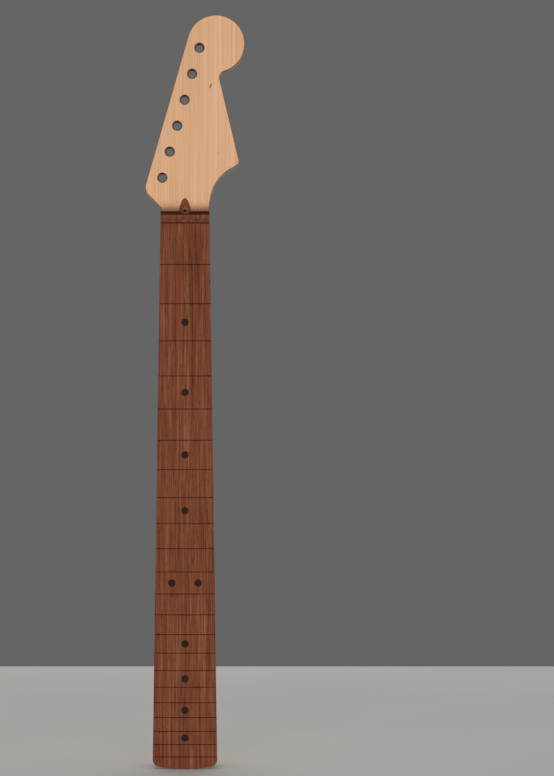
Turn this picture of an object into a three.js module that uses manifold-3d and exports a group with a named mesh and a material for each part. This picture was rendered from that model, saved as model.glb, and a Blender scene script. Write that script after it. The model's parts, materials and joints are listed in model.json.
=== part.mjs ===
// A bolt-on electric guitar neck: one piece of maple with a six-in-line headstock, a fretboard with
// 22 fret slots and no frets in them yet, and a truss rod under a strip let into the back.
//
// Millimetres. Z runs up the neck to the headstock. -Y is the playing side and +Y the back.
// +X is the treble side. The origin is the middle of the four neck screws, on the heel's flat back.

import * as THREE from "three";
import { mergeVertices } from "three/addons/utils/BufferGeometryUtils.js";
import Module from "manifold-3d";

// Strings and frets
const scaleLength = 647.7;
const fretCount = 22;
const fretsInOctave = 12;

// Fretboard
const boardThickness = 6.35;
const boardWidthAtNut = 42.9;
const boardWidthAtEnd = 56.2;
const crownRadiusAtNut = 254;
const crownRadiusAtEnd = 406.4;
const boardPastLastFret = 10.7;
const boardOverhang = 7.9;
const boardBehindNutSlot = 3.6;
const fretSlotWidth = 0.6;
const fretSlotDepth = 2.4;
const nutSlotWidth = 3.3;
const nutSlotDepth = 2.6;

// Position dots, in the face and in the bass edge
const singleDotFrets = [3, 5, 7, 9, 15, 17, 19, 21];
const doubleDotFret = 12;
const faceDotRadius = 3.175;
const faceDotThickness = 1.6;
const doubleDotSpacing = 22.9;
const sideDotRadius = 1.15;
const sideDotLength = 2.8;
const sideDotBelowCrown = 3.5;
const doubleSideDotSpacing = 8;

// Heel
const neckDepth = 25.4; // from the fretboard's crown to the back of the heel and of the headstock
const screwSpacingAcross = 38.1;
const screwSpacingAlong = 50.8;
const screwHoleRadius = 1.6;
const screwHoleDepth = 16;
const heelPastScrews = 17.1;
const heelFlatTop = 43.6;
const heelCornerFade = 6; // below the top of the flat, where its rounded corners end
const heelEndRadius = 112;
const heelCornerRadius = 5.5;

// Shaft: its back is a superellipse, rounder than a box and fuller than an ellipse
const thinnerAtNut = 5; // than the neck's full depth, at the shaft's middle
const thinnerAtHeel = 2.8;
const backFullness = 2.25;
const backPastEdge = 0.3; // the back's curve would end this far outside the neck's edge
const roundedShare = 0.98; // the rest of the width is a narrow flat along the middle
const cornerHeightShare = 0.6; // a fading round loses its height by this power of its width
const bassFlatShare = 0.25; // the headstock's flat back widens by this power of the height
const trebleFlatShare = 0.6;
const heelFlatShare = 2.4;
const heelScoopRadius = 12;
const headScoopRadius = 24;
const headScoopTop = 10.3; // above the nut line, where the scoop reaches the headstock's back
const bassFadeTop = 29; // above the nut line, where the back's round has run out on this side
const trebleFadeTop = 42;

// Headstock, with heights above the nut line
const headFaceBelowCrown = 11.1;
const headCurveRadius = 16;
const tipRadius = 25.5;
const tipX = 27.15;
const tipHeight = 157.7;
const tunerEdgeAngle = THREE.MathUtils.degToRad(16);
const bassCornerHeight = 28.8;
const bassCornerRadius = 10.7;
const bassThroatAngle = THREE.MathUtils.degToRad(46);
const hornX = 48.3;
const hornHeight = 52.56;
const hornRadius = 3.6;
const hornEdgeAngle = THREE.MathUtils.degToRad(13.4);
const notchRadius = 5.5;
const hornUndersideAngle = THREE.MathUtils.degToRad(31);
const undersideRadius = 34;
const trebleThroatRadius = 56;
const trebleThroatAngle = THREE.MathUtils.degToRad(18);
const tunerCount = 6;
const tunerHoleRadius = 4.365;
const tunerFromEdge = 12.65;
const tunerAboveBassCorner = 11.5;
const tunerBelowTip = 3.6;

// Truss rod, strip and plug
const rodRadius = 2.38;
const rodClearance = 0.25;
const rodEndBelowBoard = 4.15;
const rodBendBelowBoard = 12.15; // where the two ends' directions would meet
const adjusterBelowBoard = 1; // where the adjuster's axis passes the nut line
const anchorRadius = 4.75;
const anchorAboveScrews = 22.3;
const anchorPastRod = 0.5; // steel left past the threaded hole, towards the strings
const anchorSunk = 0.4;
const anchorChamfer = 0.4;
const rodIntoAnchor = 1.5; // past the anchor's middle
const stripWidth = 6.35;
const stripTopBelowNut = 40.6;
const plugRadius = 4.7625;
const plugAboveNutSlot = 1.3;
const keyHoleRadius = 2;
const chamberClearance = 0.4; // round the nut and its washer
const washerSeatBelowNut = 14;
const washerThickness = 1.2;
const trussNutRadius = 3.6;
const trussNutLength = 11;
const trussNutChamfer = 0.4;
const socketAcrossFlats = 3.2;
const socketDepth = 4;
const threadClearance = 0.12;

// Fits
const glueLine = 0.05;
const looseFit = 0.2;
const overrun = 5; // how far a cutting shape runs past what it cuts
const weldDistance = 1e-4;

// How finely round shapes are cut into flats
const arcSteps = 8;
const holeSides = 28;
const pinSides = 16;
const socketSides = 6;
const crownSteps = 12;
const backSteps = 12;
const scoopSteps = 7;
const shaftSteps = 6;
const fadeSteps = 10;
const rodSides = 12;
const rodSteps = 24;
const channelSteps = 20;

// Places along the neck
function fretDistance(fret) {
  return scaleLength * (1 - 2 ** (-fret / fretsInOctave));
}

const heelEndZ = -(screwSpacingAlong / 2 + heelPastScrews);
const boardEndZ = heelEndZ - boardOverhang;
const nutZ = boardEndZ + boardPastLastFret + fretDistance(fretCount);
const boardTopZ = nutZ + nutSlotWidth + boardBehindNutSlot;
const headTopZ = nutZ + tipHeight + tipRadius;

// Places through the neck
const crownY = -neckDepth;
const glueY = crownY + boardThickness;
const headFaceY = crownY + headFaceBelowCrown;
const fullDepth = neckDepth - boardThickness;

const up = new THREE.Vector3(0, 0, 1);
const across = new THREE.Vector3(1, 0, 0);
const through = new THREE.Vector3(0, 1, 0);

// The neck widens evenly from the nut line down, and keeps its width above it.
function halfWidth(z) {
  const share = Math.max((nutZ - z) / (nutZ - boardEndZ), 0);
  return THREE.MathUtils.lerp(boardWidthAtNut, boardWidthAtEnd, share) / 2;
}

// From the glue line to the back of the shaft, at its middle.
function backDepth(z) {
  const share = THREE.MathUtils.clamp((nutZ - z) / nutZ, 0, 1);
  return fullDepth - THREE.MathUtils.lerp(thinnerAtNut, thinnerAtHeel, share);
}

// Solids

const kernel = await Module();
kernel.setup();

function solidOf(geometry) {
  const bare = geometry.clone();
  bare.deleteAttribute("normal");
  bare.deleteAttribute("uv");
  const welded = mergeVertices(bare, weldDistance);
  return new kernel.Manifold(
    new kernel.Mesh({
      numProp: 3,
      vertProperties: welded.attributes.position.array,
      triVerts: new Uint32Array(welded.index.array),
    }),
  );
}

function geometryOf(solid) {
  const { vertProperties, triVerts } = solid.getMesh();
  const shared = new THREE.BufferGeometry();
  shared.setAttribute("position", new THREE.BufferAttribute(vertProperties, 3));
  shared.setIndex(new THREE.BufferAttribute(triVerts, 1));
  const flat = shared.toNonIndexed();
  flat.computeVertexNormals();
  return flat;
}

// An outline drawn in x and z, given thickness from frontY to backY.
function plate(outline, frontY, backY) {
  const geometry = new THREE.ExtrudeGeometry(outline, {
    depth: backY - frontY,
    bevelEnabled: false,
    curveSegments: arcSteps,
  });
  geometry.rotateX(Math.PI / 2);
  geometry.translate(0, backY, 0);
  return solidOf(geometry);
}

// A side view drawn in y and z, given a width centred on the neck's middle.
function sideProfile(outline, width) {
  const geometry = new THREE.ExtrudeGeometry(outline, {
    depth: width,
    bevelEnabled: false,
    curveSegments: arcSteps,
  });
  geometry.applyMatrix4(new THREE.Matrix4().makeBasis(through, up, across));
  geometry.translate(-width / 2, 0, 0);
  return solidOf(geometry);
}

// A round bar from one point to another.
function bar(from, to, radius, sides) {
  const line = to.clone().sub(from);
  const geometry = new THREE.CylinderGeometry(radius, radius, line.length(), sides);
  geometry.applyQuaternion(
    new THREE.Quaternion().setFromUnitVectors(through, line.clone().normalize()),
  );
  geometry.translate(...from.clone().add(to).divideScalar(2));
  return solidOf(geometry);
}

function block(low, high) {
  const size = high.clone().sub(low);
  const geometry = new THREE.BoxGeometry(size.x, size.y, size.z);
  geometry.translate(...low.clone().add(high).divideScalar(2));
  return solidOf(geometry);
}

// Rings of equal count, each convex and in order up the neck, joined into one closed skin.
function loft(rings) {
  const count = rings[0].length;
  const positions = rings.flat().flatMap((point) => point.toArray());
  const faces = [];
  for (let ring = 0; ring + 1 < rings.length; ring++) {
    for (let i = 0; i < count; i++) {
      const here = ring * count + i;
      const next = ring * count + ((i + 1) % count);
      faces.push(here, next, next + count);
      faces.push(here, next + count, here + count);
    }
  }
  const last = (rings.length - 1) * count;
  for (let i = 1; i + 1 < count; i++) {
    faces.push(0, i + 1, i);
    faces.push(last, last + i, last + i + 1);
  }
  const geometry = new THREE.BufferGeometry();
  geometry.setAttribute("position", new THREE.Float32BufferAttribute(positions, 3));
  geometry.setIndex(faces);
  return solidOf(geometry);
}

// Outlines

// A line towards a corner, and an arc round it that leaves towards the next point.
function turnCorner(path, before, corner, after, radius) {
  const back = before.clone().sub(corner).normalize();
  const on = after.clone().sub(corner).normalize();
  const halfAngle = Math.acos(back.dot(on)) / 2;
  const reach = radius / Math.tan(halfAngle);
  const inward = back.clone().add(on).normalize();
  const centre = corner.clone().addScaledVector(inward, radius / Math.sin(halfAngle));
  const start = corner.clone().addScaledVector(back, reach).sub(centre);
  const end = corner.clone().addScaledVector(on, reach).sub(centre);
  const clockwise = start.cross(end) < 0;
  path.absarc(centre.x, centre.y, radius, start.angle(), end.angle(), clockwise);
}

// The bowed end of the heel, drawn from the bass side to the treble side.
function drawBowedEnd(path, endZ) {
  const edge = halfWidth(endZ);
  const cornerX = edge - heelCornerRadius;
  const bowZ = endZ + heelEndRadius;
  const cornerZ = bowZ - Math.sqrt((heelEndRadius - heelCornerRadius) ** 2 - cornerX ** 2);
  const meeting = Math.atan2(bowZ - cornerZ, cornerX);
  path.moveTo(-edge, cornerZ);
  path.absarc(-cornerX, cornerZ, heelCornerRadius, Math.PI, Math.PI + meeting);
  path.absarc(0, bowZ, heelEndRadius, Math.PI + meeting, 2 * Math.PI - meeting);
  path.absarc(cornerX, cornerZ, heelCornerRadius, -meeting, 0);
}

// The treble side of the headstock, drawn upwards from the neck's edge to the round tip.
function drawTrebleSide(path) {
  const edge = halfWidth(nutZ);
  const steep = Math.PI / 2 - hornUndersideAngle;
  const horn = new THREE.Vector2(hornX, nutZ + hornHeight);
  const throatRun = trebleThroatRadius * (1 - Math.cos(trebleThroatAngle));
  const throatRise = trebleThroatRadius * Math.sin(trebleThroatAngle);
  const underRun = undersideRadius * (Math.cos(trebleThroatAngle) - Math.cos(steep));
  const underRise = undersideRadius * (Math.sin(steep) - Math.sin(trebleThroatAngle));
  const underEnd = new THREE.Vector2(edge + throatRun + underRun, 0);
  underEnd.y = horn.y - (horn.x - underEnd.x) * Math.tan(hornUndersideAngle);
  const throatZ = underEnd.y - underRise - throatRise;
  const turned = Math.PI - trebleThroatAngle;
  path.absarc(edge + trebleThroatRadius, throatZ, trebleThroatRadius, Math.PI, turned, true);
  const underCentre = new THREE.Vector2(
    underEnd.x + undersideRadius * Math.cos(steep),
    underEnd.y - undersideRadius * Math.sin(steep),
  );
  path.absarc(
    underCentre.x, underCentre.y, undersideRadius, turned, Math.PI - steep, true,
  );
  const edgeWay = new THREE.Vector2(-Math.sin(hornEdgeAngle), Math.cos(hornEdgeAngle));
  turnCorner(path, underEnd, horn, horn.clone().add(edgeWay), hornRadius);

  // The notch is a circle that touches the horn's edge and the round tip.
  const tip = new THREE.Vector2(tipX, nutZ + tipHeight);
  const outward = new THREE.Vector2(edgeWay.y, -edgeWay.x);
  const offset = horn.clone().addScaledVector(outward, notchRadius).sub(tip);
  const along = offset.dot(edgeWay);
  const apart = offset.lengthSq() - (tipRadius + notchRadius) ** 2;
  const travel = -along - Math.sqrt(along ** 2 - apart);
  const notch = offset.clone().addScaledVector(edgeWay, travel).add(tip);
  const fromTip = notch.clone().sub(tip).angle();
  path.absarc(
    notch.x, notch.y, notchRadius, outward.clone().negate().angle(), fromTip - Math.PI, true,
  );
  path.absarc(tip.x, tip.y, tipRadius, fromTip, Math.PI - tunerEdgeAngle);
}

// The bass side, from the round tip down the tuner edge to the neck's edge.
function drawBassSide(path) {
  const tangent = tunerEdgePoint(tipHeight + tipRadius * Math.sin(tunerEdgeAngle));
  const corner = tunerEdgePoint(bassCornerHeight);
  const edge = halfWidth(nutZ);
  const throat = new THREE.Vector2(
    -edge,
    corner.y - (-edge - corner.x) / Math.tan(bassThroatAngle),
  );
  turnCorner(path, tangent, corner, throat, bassCornerRadius);
  path.lineTo(throat.x, throat.y);
  path.lineTo(-edge, nutZ);
}

// A point on the straight tuner edge, which touches the round tip.
function tunerEdgePoint(height) {
  const touchX = tipX - tipRadius * Math.cos(tunerEdgeAngle);
  const touchHeight = tipHeight + tipRadius * Math.sin(tunerEdgeAngle);
  const drop = touchHeight - height;
  return new THREE.Vector2(touchX - drop * Math.tan(tunerEdgeAngle), nutZ + height);
}

// Tuner holes on a line beside the edge, from the one nearest the nut to the one nearest the tip.
function tunerPlaces() {
  const lowest = tunerEdgePoint(bassCornerHeight + tunerAboveBassCorner);
  const highest = tunerEdgePoint(tipHeight - tunerBelowTip);
  const inward = new THREE.Vector2(tunerFromEdge / Math.cos(tunerEdgeAngle), 0);
  return Array.from({ length: tunerCount }, (_, i) =>
    lowest.clone().lerp(highest, i / (tunerCount - 1)).add(inward),
  );
}

function neckOutline() {
  const outline = new THREE.Shape();
  drawBowedEnd(outline, heelEndZ);
  outline.lineTo(halfWidth(nutZ), nutZ);
  drawTrebleSide(outline);
  drawBassSide(outline);
  outline.closePath();
  for (const place of tunerPlaces()) {
    const hole = new THREE.Path();
    const spoke = new THREE.Vector2(tunerHoleRadius, 0);
    const ring = Array.from({ length: holeSides }, (_, i) =>
      spoke.clone().rotateAround(new THREE.Vector2(), (-2 * Math.PI * i) / holeSides).add(place),
    );
    hole.setFromPoints(ring);
    outline.holes.push(hole);
  }
  return outline;
}

function boardOutline() {
  const outline = new THREE.Shape();
  const edge = halfWidth(nutZ);
  drawBowedEnd(outline, boardEndZ);
  outline.lineTo(edge, nutZ);
  outline.lineTo(edge, boardTopZ + headFaceBelowCrown);
  outline.lineTo(-edge, boardTopZ + headFaceBelowCrown);
  outline.lineTo(-edge, nutZ);
  outline.closePath();
  return outline;
}

// The maple's outside

// How high a round scoop has climbed, at a distance past where it starts.
function scoopRise(distance, radius) {
  const run = THREE.MathUtils.clamp(distance, 0, radius);
  return radius - Math.sqrt(radius ** 2 - run ** 2);
}

function scoopRun(rise, radius) {
  return Math.sqrt(radius ** 2 - (radius - rise) ** 2);
}

const heelCornerZ = heelFlatTop - heelCornerFade;
const heelScoopZ = heelFlatTop + scoopRun(fullDepth - backDepth(heelFlatTop), heelScoopRadius);
const headFlatZ = nutZ + headScoopTop;
const headScoopZ = headFlatZ - scoopRun(fullDepth - backDepth(nutZ), headScoopRadius);
const outlinePoints = neckOutline().getPoints(arcSteps);

// How far from the middle the outline stands at a height, on the treble side (1) or the bass side (-1).
function outlineReach(z, side) {
  const reaches = outlinePoints.flatMap((start, i) => {
    const end = outlinePoints[(i + 1) % outlinePoints.length];
    const share = (z - start.y) / (end.y - start.y);
    const x = side * THREE.MathUtils.lerp(start.x, end.x, share);
    return share >= 0 && share < 1 && x > 0 ? [x] : [];
  });
  return Math.min(...reaches);
}

// The share of one side's width that has turned from round to flat.
function flatShare(z, side) {
  const fadeTop = side > 0 ? trebleFadeTop : bassFadeTop;
  const power = side > 0 ? trebleFlatShare : bassFlatShare;
  const headRun = THREE.MathUtils.clamp((z - headFlatZ) / (nutZ + fadeTop - headFlatZ), 0, 1);
  const heelRun = THREE.MathUtils.clamp((heelScoopZ - z) / (heelScoopZ - heelCornerZ), 0, 1);
  return Math.max(headRun ** power, 1 - (1 - heelRun) ** heelFlatShare);
}

// One side of a slice of the back, from the neck's edge to the flat in its middle.
function backQuarter(z, side) {
  const rise =
    scoopRise(heelScoopZ - z, heelScoopRadius) + scoopRise(z - headScoopZ, headScoopRadius);
  const depth = Math.min(backDepth(z) + rise, fullDepth + backPastEdge);
  const reach = outlineReach(z, side) + backPastEdge;
  const share = (1 - flatShare(z, side)) * roundedShare;
  const width = Math.max(reach * share, backPastEdge);
  const height = Math.max(depth * share ** cornerHeightShare, backPastEdge);
  return Array.from({ length: backSteps + 1 }, (_, i) => {
    const angle = (Math.PI / 2) * (i / backSteps);
    const x = reach - width + width * Math.cos(angle) ** (2 / backFullness);
    const y = depth - height + height * Math.sin(angle) ** (2 / backFullness);
    return new THREE.Vector3(side * x, glueY + y, z);
  });
}

function backRing(z) {
  const treble = backQuarter(z, 1);
  const bass = backQuarter(z, -1);
  const front = [bass[0], treble[0]].map(({ x }) => new THREE.Vector3(x, glueY - overrun, z));
  return [...front, ...treble, ...bass.reverse()];
}

function roundedBack() {
  const lastZ = nutZ + Math.max(trebleFadeTop, bassFadeTop);
  const places = [];
  for (let i = 0; i < scoopSteps; i++) {
    places.push(THREE.MathUtils.lerp(heelCornerZ, heelScoopZ, i / scoopSteps));
  }
  for (let i = 0; i < shaftSteps; i++) {
    places.push(THREE.MathUtils.lerp(heelScoopZ, headScoopZ, i / shaftSteps));
  }
  for (let i = 0; i < scoopSteps; i++) {
    places.push(THREE.MathUtils.lerp(headScoopZ, headFlatZ, i / scoopSteps));
  }
  for (let i = 0; i <= fadeSteps; i++) {
    places.push(THREE.MathUtils.lerp(headFlatZ, lastZ, (i / fadeSteps) ** 2));
  }
  return loft(places.map(backRing));
}

function headBlock() {
  const reach = hornX + overrun;
  const startZ = nutZ + Math.max(trebleFadeTop, bassFadeTop);
  return block(
    new THREE.Vector3(-reach, glueY - overrun, startZ),
    new THREE.Vector3(reach, overrun, headTopZ + overrun),
  );
}

function heelBlock() {
  const reach = halfWidth(boardEndZ) + overrun;
  return block(
    new THREE.Vector3(-reach, glueY - overrun, heelEndZ - overrun),
    new THREE.Vector3(reach, overrun, heelCornerZ),
  );
}

// What is milled away in front of the headstock: a flat, and the curve up to the fretboard.
function headFaceCutter() {
  const centreY = headFaceY - headCurveRadius;
  const centreZ = boardTopZ + scoopRun(headFaceBelowCrown, headCurveRadius);
  const outline = new THREE.Shape();
  outline.moveTo(headFaceY, headTopZ + overrun);
  outline.lineTo(headFaceY, centreZ);
  outline.absarc(centreY, centreZ, headCurveRadius, 0, -Math.PI / 2, true);
  outline.lineTo(centreY, headTopZ + overrun);
  outline.closePath();
  return sideProfile(outline, 2 * (hornX + overrun));
}

function mapleOutside() {
  return plate(neckOutline(), glueY, 0)
    .intersect(kernel.Manifold.union([roundedBack(), headBlock(), heelBlock()]))
    .subtract(headFaceCutter());
}

// A slice of the board: flat below, and arched by the crown radius on top.
function crownRing(z, crownRadius) {
  const reach = boardWidthAtEnd / 2 + overrun;
  const ring = [new THREE.Vector3(reach, glueY, z), new THREE.Vector3(-reach, glueY, z)];
  for (let i = 0; i <= crownSteps; i++) {
    const x = THREE.MathUtils.lerp(-reach, reach, i / crownSteps);
    const fall = crownRadius - Math.sqrt(crownRadius ** 2 - x ** 2);
    ring.push(new THREE.Vector3(x, crownY + fall, z));
  }
  return ring;
}

function boardOutside() {
  const crown = loft([
    crownRing(boardEndZ - overrun, crownRadiusAtEnd),
    crownRing(boardTopZ + headFaceBelowCrown + overrun, crownRadiusAtNut),
  ]);
  return plate(boardOutline(), crownY - overrun, glueY)
    .intersect(crown)
    .subtract(headFaceCutter());
}

// The truss rod's line

// Places on the adjuster's axis are measured along it from the nut line.
const washerSeatS = -washerSeatBelowNut;
const trussNutS = washerSeatS + washerThickness + 2 * looseFit;
const rodTopS = trussNutS + trussNutLength - socketDepth - looseFit;
const plugBottomS = nutSlotWidth + plugAboveNutSlot;

// The axis runs from where the rod bends to the nut line, so it tips towards the strings as it rises.
const rodBottom = new THREE.Vector3(
  0, glueY + rodEndBelowBoard, anchorAboveScrews - rodIntoAnchor,
);
const rodBend = new THREE.Vector3(
  0, glueY + rodBendBelowBoard, (rodBottom.z + nutZ + rodTopS) / 2,
);
const adjusterOrigin = new THREE.Vector3(0, glueY + adjusterBelowBoard, nutZ);
const adjusterAxis = adjusterOrigin.clone().sub(rodBend).normalize();
const adjusterTilt = adjusterAxis.angleTo(up);

function onAdjuster(s) {
  return adjusterOrigin.clone().addScaledVector(adjusterAxis, s);
}

const rodTop = onAdjuster(rodTopS);
const rodLine = new THREE.QuadraticBezierCurve3(rodBottom, rodBend, rodTop);

// The bend lies halfway up, so height along the rod is even in the curve's own parameter.
function rodY(z) {
  const t = (z - rodBottom.z) / (rodTop.z - rodBottom.z);
  return rodLine.getPoint(t).y;
}

const rodRoom = rodRadius + rodClearance;
const stripTopZ = nutZ - stripTopBelowNut;

// A slot seen from the back, with a round upper end and its lower end in the anchor's hole.
function slotOutline(width) {
  const outline = new THREE.Shape();
  const endZ = stripTopZ - width / 2;
  outline.moveTo(-width / 2, anchorAboveScrews);
  outline.lineTo(width / 2, anchorAboveScrews);
  outline.absarc(0, endZ, width / 2, 0, Math.PI);
  outline.closePath();
  return outline;
}

// The space between two lines that follow the rod, one nearer the strings and one nearer the back.
function alongRod(nearY, farY, width) {
  const outline = new THREE.Shape();
  const places = Array.from({ length: channelSteps + 1 }, (_, i) =>
    THREE.MathUtils.lerp(anchorAboveScrews, stripTopZ, i / channelSteps),
  );
  const near = places.map((z) => new THREE.Vector2(nearY(z), z));
  const far = places.map((z) => new THREE.Vector2(farY(z), z));
  outline.setFromPoints([...near, ...far.reverse()]);
  return sideProfile(outline, width + overrun).intersect(
    plate(slotOutline(width), crownY, overrun),
  );
}

function rodChannel() {
  return alongRod(
    (z) => rodY(z) - rodRoom,
    (z) => rodY(z) + rodRoom + glueLine,
    2 * rodRoom,
  );
}

function stripSpace(gap) {
  return alongRod(
    (z) => rodY(z) + rodRoom + gap,
    () => overrun,
    stripWidth + 2 * (glueLine - gap),
  );
}

function anchorBar(gap, frontY, backY) {
  return bar(
    new THREE.Vector3(0, frontY, anchorAboveScrews),
    new THREE.Vector3(0, backY, anchorAboveScrews),
    anchorRadius + gap,
    holeSides,
  );
}

const anchorTipY = rodBottom.y - rodRoom - anchorPastRod;

function anchorHole() {
  return anchorBar(looseFit / 2, anchorTipY - looseFit, overrun);
}

function plugHole(gap) {
  const topS = headCurveRadius + boardBehindNutSlot + plugRadius / Math.tan(adjusterTilt);
  const bottom = onAdjuster(plugBottomS - glueLine + gap);
  return bar(bottom, onAdjuster(topS), plugRadius - gap, holeSides);
}

function adjusterBores() {
  const rodBoreEnd = (stripTopZ - stripWidth - nutZ) / adjusterAxis.z;
  return kernel.Manifold.union([
    plugHole(-glueLine),
    bar(onAdjuster(washerSeatS), onAdjuster(plugBottomS), trussNutRadius + chamberClearance, holeSides),
    bar(onAdjuster(rodBoreEnd), onAdjuster(washerSeatS + looseFit), rodRoom, pinSides),
  ]);
}

function screwHoles() {
  const holes = [];
  for (const x of [-screwSpacingAcross / 2, screwSpacingAcross / 2]) {
    for (const z of [-screwSpacingAlong / 2, screwSpacingAlong / 2]) {
      holes.push(
        bar(
          new THREE.Vector3(x, -screwHoleDepth, z),
          new THREE.Vector3(x, overrun, z),
          screwHoleRadius,
          pinSides,
        ),
      );
    }
  }
  return kernel.Manifold.union(holes);
}

// Dots

function dotZ(fret) {
  return nutZ - (fretDistance(fret - 1) + fretDistance(fret)) / 2;
}

function faceDotPlaces() {
  const places = singleDotFrets.map((fret) => ({ name: `face_dot_${fret}`, x: 0, z: dotZ(fret) }));
  const z = dotZ(doubleDotFret);
  places.push({ name: `face_dot_${doubleDotFret}_bass`, x: -doubleDotSpacing / 2, z });
  places.push({ name: `face_dot_${doubleDotFret}_treble`, x: doubleDotSpacing / 2, z });
  return places;
}

function sideDotPlaces() {
  const places = singleDotFrets.map((fret) => ({ name: `side_dot_${fret}`, z: dotZ(fret) }));
  const z = dotZ(doubleDotFret);
  places.push({ name: `side_dot_${doubleDotFret}_upper`, z: z + doubleSideDotSpacing / 2 });
  places.push({ name: `side_dot_${doubleDotFret}_lower`, z: z - doubleSideDotSpacing / 2 });
  return places;
}

function faceDotBar({ x, z }, gap) {
  return bar(
    new THREE.Vector3(x, crownY - overrun, z),
    new THREE.Vector3(x, crownY + faceDotThickness + gap, z),
    faceDotRadius + gap,
    holeSides,
  );
}

function sideDotBar({ z }, gap) {
  const edge = halfWidth(z);
  return bar(
    new THREE.Vector3(-edge - overrun, crownY + sideDotBelowCrown, z),
    new THREE.Vector3(-edge + sideDotLength + gap, crownY + sideDotBelowCrown, z),
    sideDotRadius + gap,
    pinSides,
  );
}

// Slots across the board

function slotCutter(lowZ, highZ, depth) {
  const reach = boardWidthAtEnd / 2 + overrun;
  return block(
    new THREE.Vector3(-reach, crownY - overrun, lowZ),
    new THREE.Vector3(reach, crownY + depth, highZ),
  );
}

function boardSlots() {
  const slots = [slotCutter(nutZ, nutZ + nutSlotWidth, nutSlotDepth)];
  for (let fret = 1; fret <= fretCount; fret++) {
    const z = nutZ - fretDistance(fret);
    slots.push(slotCutter(z - fretSlotWidth / 2, z + fretSlotWidth / 2, fretSlotDepth));
  }
  return kernel.Manifold.union(slots);
}

// Pieces

const mapleSolid = mapleOutside();
const boardSolid = boardOutside();

function makeMaple() {
  return mapleSolid.subtract(
    kernel.Manifold.union([
      rodChannel(),
      stripSpace(0),
      anchorHole(),
      adjusterBores(),
      screwHoles(),
    ]),
  );
}

function makeBoard() {
  return boardSolid.subtract(
    kernel.Manifold.union([
      boardSlots(),
      adjusterBores(),
      ...faceDotPlaces().map((place) => faceDotBar(place, glueLine)),
      ...sideDotPlaces().map((place) => sideDotBar(place, glueLine)),
    ]),
  );
}

function makeStrip() {
  return stripSpace(glueLine).intersect(mapleSolid).subtract(anchorHole());
}

function makePlug() {
  const wood = kernel.Manifold.union([mapleSolid, boardSolid]);
  const keyHole = bar(
    onAdjuster(plugBottomS - overrun),
    onAdjuster(headCurveRadius + boardBehindNutSlot + headTopZ - nutZ),
    keyHoleRadius,
    pinSides,
  );
  return plugHole(0).intersect(wood).subtract(keyHole);
}

function makeRod() {
  const circle = new THREE.Shape();
  circle.absarc(0, 0, rodRadius, 0, 2 * Math.PI);
  const geometry = new THREE.ExtrudeGeometry(circle, {
    steps: rodSteps,
    curveSegments: rodSides / 2,
    extrudePath: rodLine,
  });
  return solidOf(geometry);
}

// A turned piece, given its half section as radius and height, standing on its seat on the adjuster.
function turnedOnAdjuster(section, seatS, sides) {
  const geometry = new THREE.LatheGeometry(section, sides);
  geometry.applyQuaternion(new THREE.Quaternion().setFromUnitVectors(through, adjusterAxis));
  geometry.translate(...onAdjuster(seatS));
  return solidOf(geometry);
}

function makeWasher() {
  const inner = rodRadius + threadClearance;
  const section = [
    new THREE.Vector2(inner, 0),
    new THREE.Vector2(trussNutRadius, 0),
    new THREE.Vector2(trussNutRadius, washerThickness),
    new THREE.Vector2(inner, washerThickness),
    new THREE.Vector2(inner, 0),
  ];
  return turnedOnAdjuster(section, washerSeatS + looseFit, holeSides);
}

function makeTrussNut() {
  const inner = rodRadius + threadClearance;
  const outer = trussNutRadius;
  const socketFloor = trussNutLength - socketDepth;
  const section = [
    new THREE.Vector2(inner, 0),
    new THREE.Vector2(outer - trussNutChamfer, 0),
    new THREE.Vector2(outer, trussNutChamfer),
    new THREE.Vector2(outer, trussNutLength - trussNutChamfer),
    new THREE.Vector2(outer - trussNutChamfer, trussNutLength),
    new THREE.Vector2(0, trussNutLength),
    new THREE.Vector2(0, socketFloor),
    new THREE.Vector2(inner, socketFloor),
    new THREE.Vector2(inner, 0),
  ];
  const socket = bar(
    onAdjuster(trussNutS + socketFloor - overrun),
    onAdjuster(trussNutS + trussNutLength + overrun),
    socketAcrossFlats / Math.sqrt(3),
    socketSides,
  );
  return turnedOnAdjuster(section, trussNutS, holeSides).subtract(socket);
}

function makeAnchor() {
  const backY = -anchorSunk;
  const section = [
    new THREE.Vector2(0, anchorTipY),
    new THREE.Vector2(anchorRadius - anchorChamfer, anchorTipY),
    new THREE.Vector2(anchorRadius, anchorTipY + anchorChamfer),
    new THREE.Vector2(anchorRadius, backY - anchorChamfer),
    new THREE.Vector2(anchorRadius - anchorChamfer, backY),
    new THREE.Vector2(0, backY),
  ];
  const geometry = new THREE.LatheGeometry(section, holeSides);
  geometry.translate(0, 0, anchorAboveScrews);
  const rodWay = rodLine.getTangent(0);
  const threadedHole = bar(
    rodBottom.clone().addScaledVector(rodWay, -looseFit),
    rodBottom.clone().addScaledVector(rodWay, rodIntoAnchor + anchorRadius + overrun),
    rodRoom,
    pinSides,
  );
  return solidOf(geometry).subtract(threadedHole);
}

const maple = new THREE.MeshStandardMaterial({ color: 0xdcb288, roughness: 0.55, metalness: 0 });
const boardWood = new THREE.MeshStandardMaterial({ color: 0x75432d, roughness: 0.6, metalness: 0 });
const walnut = new THREE.MeshStandardMaterial({ color: 0x8f5f40, roughness: 0.6, metalness: 0 });
const blackDot = new THREE.MeshStandardMaterial({ color: 0x29201a, roughness: 0.35, metalness: 0 });
const steel = new THREE.MeshStandardMaterial({ color: 0x8a8580, roughness: 0.4, metalness: 1 });

const neck = new THREE.Group();

function addPiece(name, solid, material) {
  const mesh = new THREE.Mesh(geometryOf(solid), material);
  mesh.name = name;
  neck.add(mesh);
}

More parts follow.
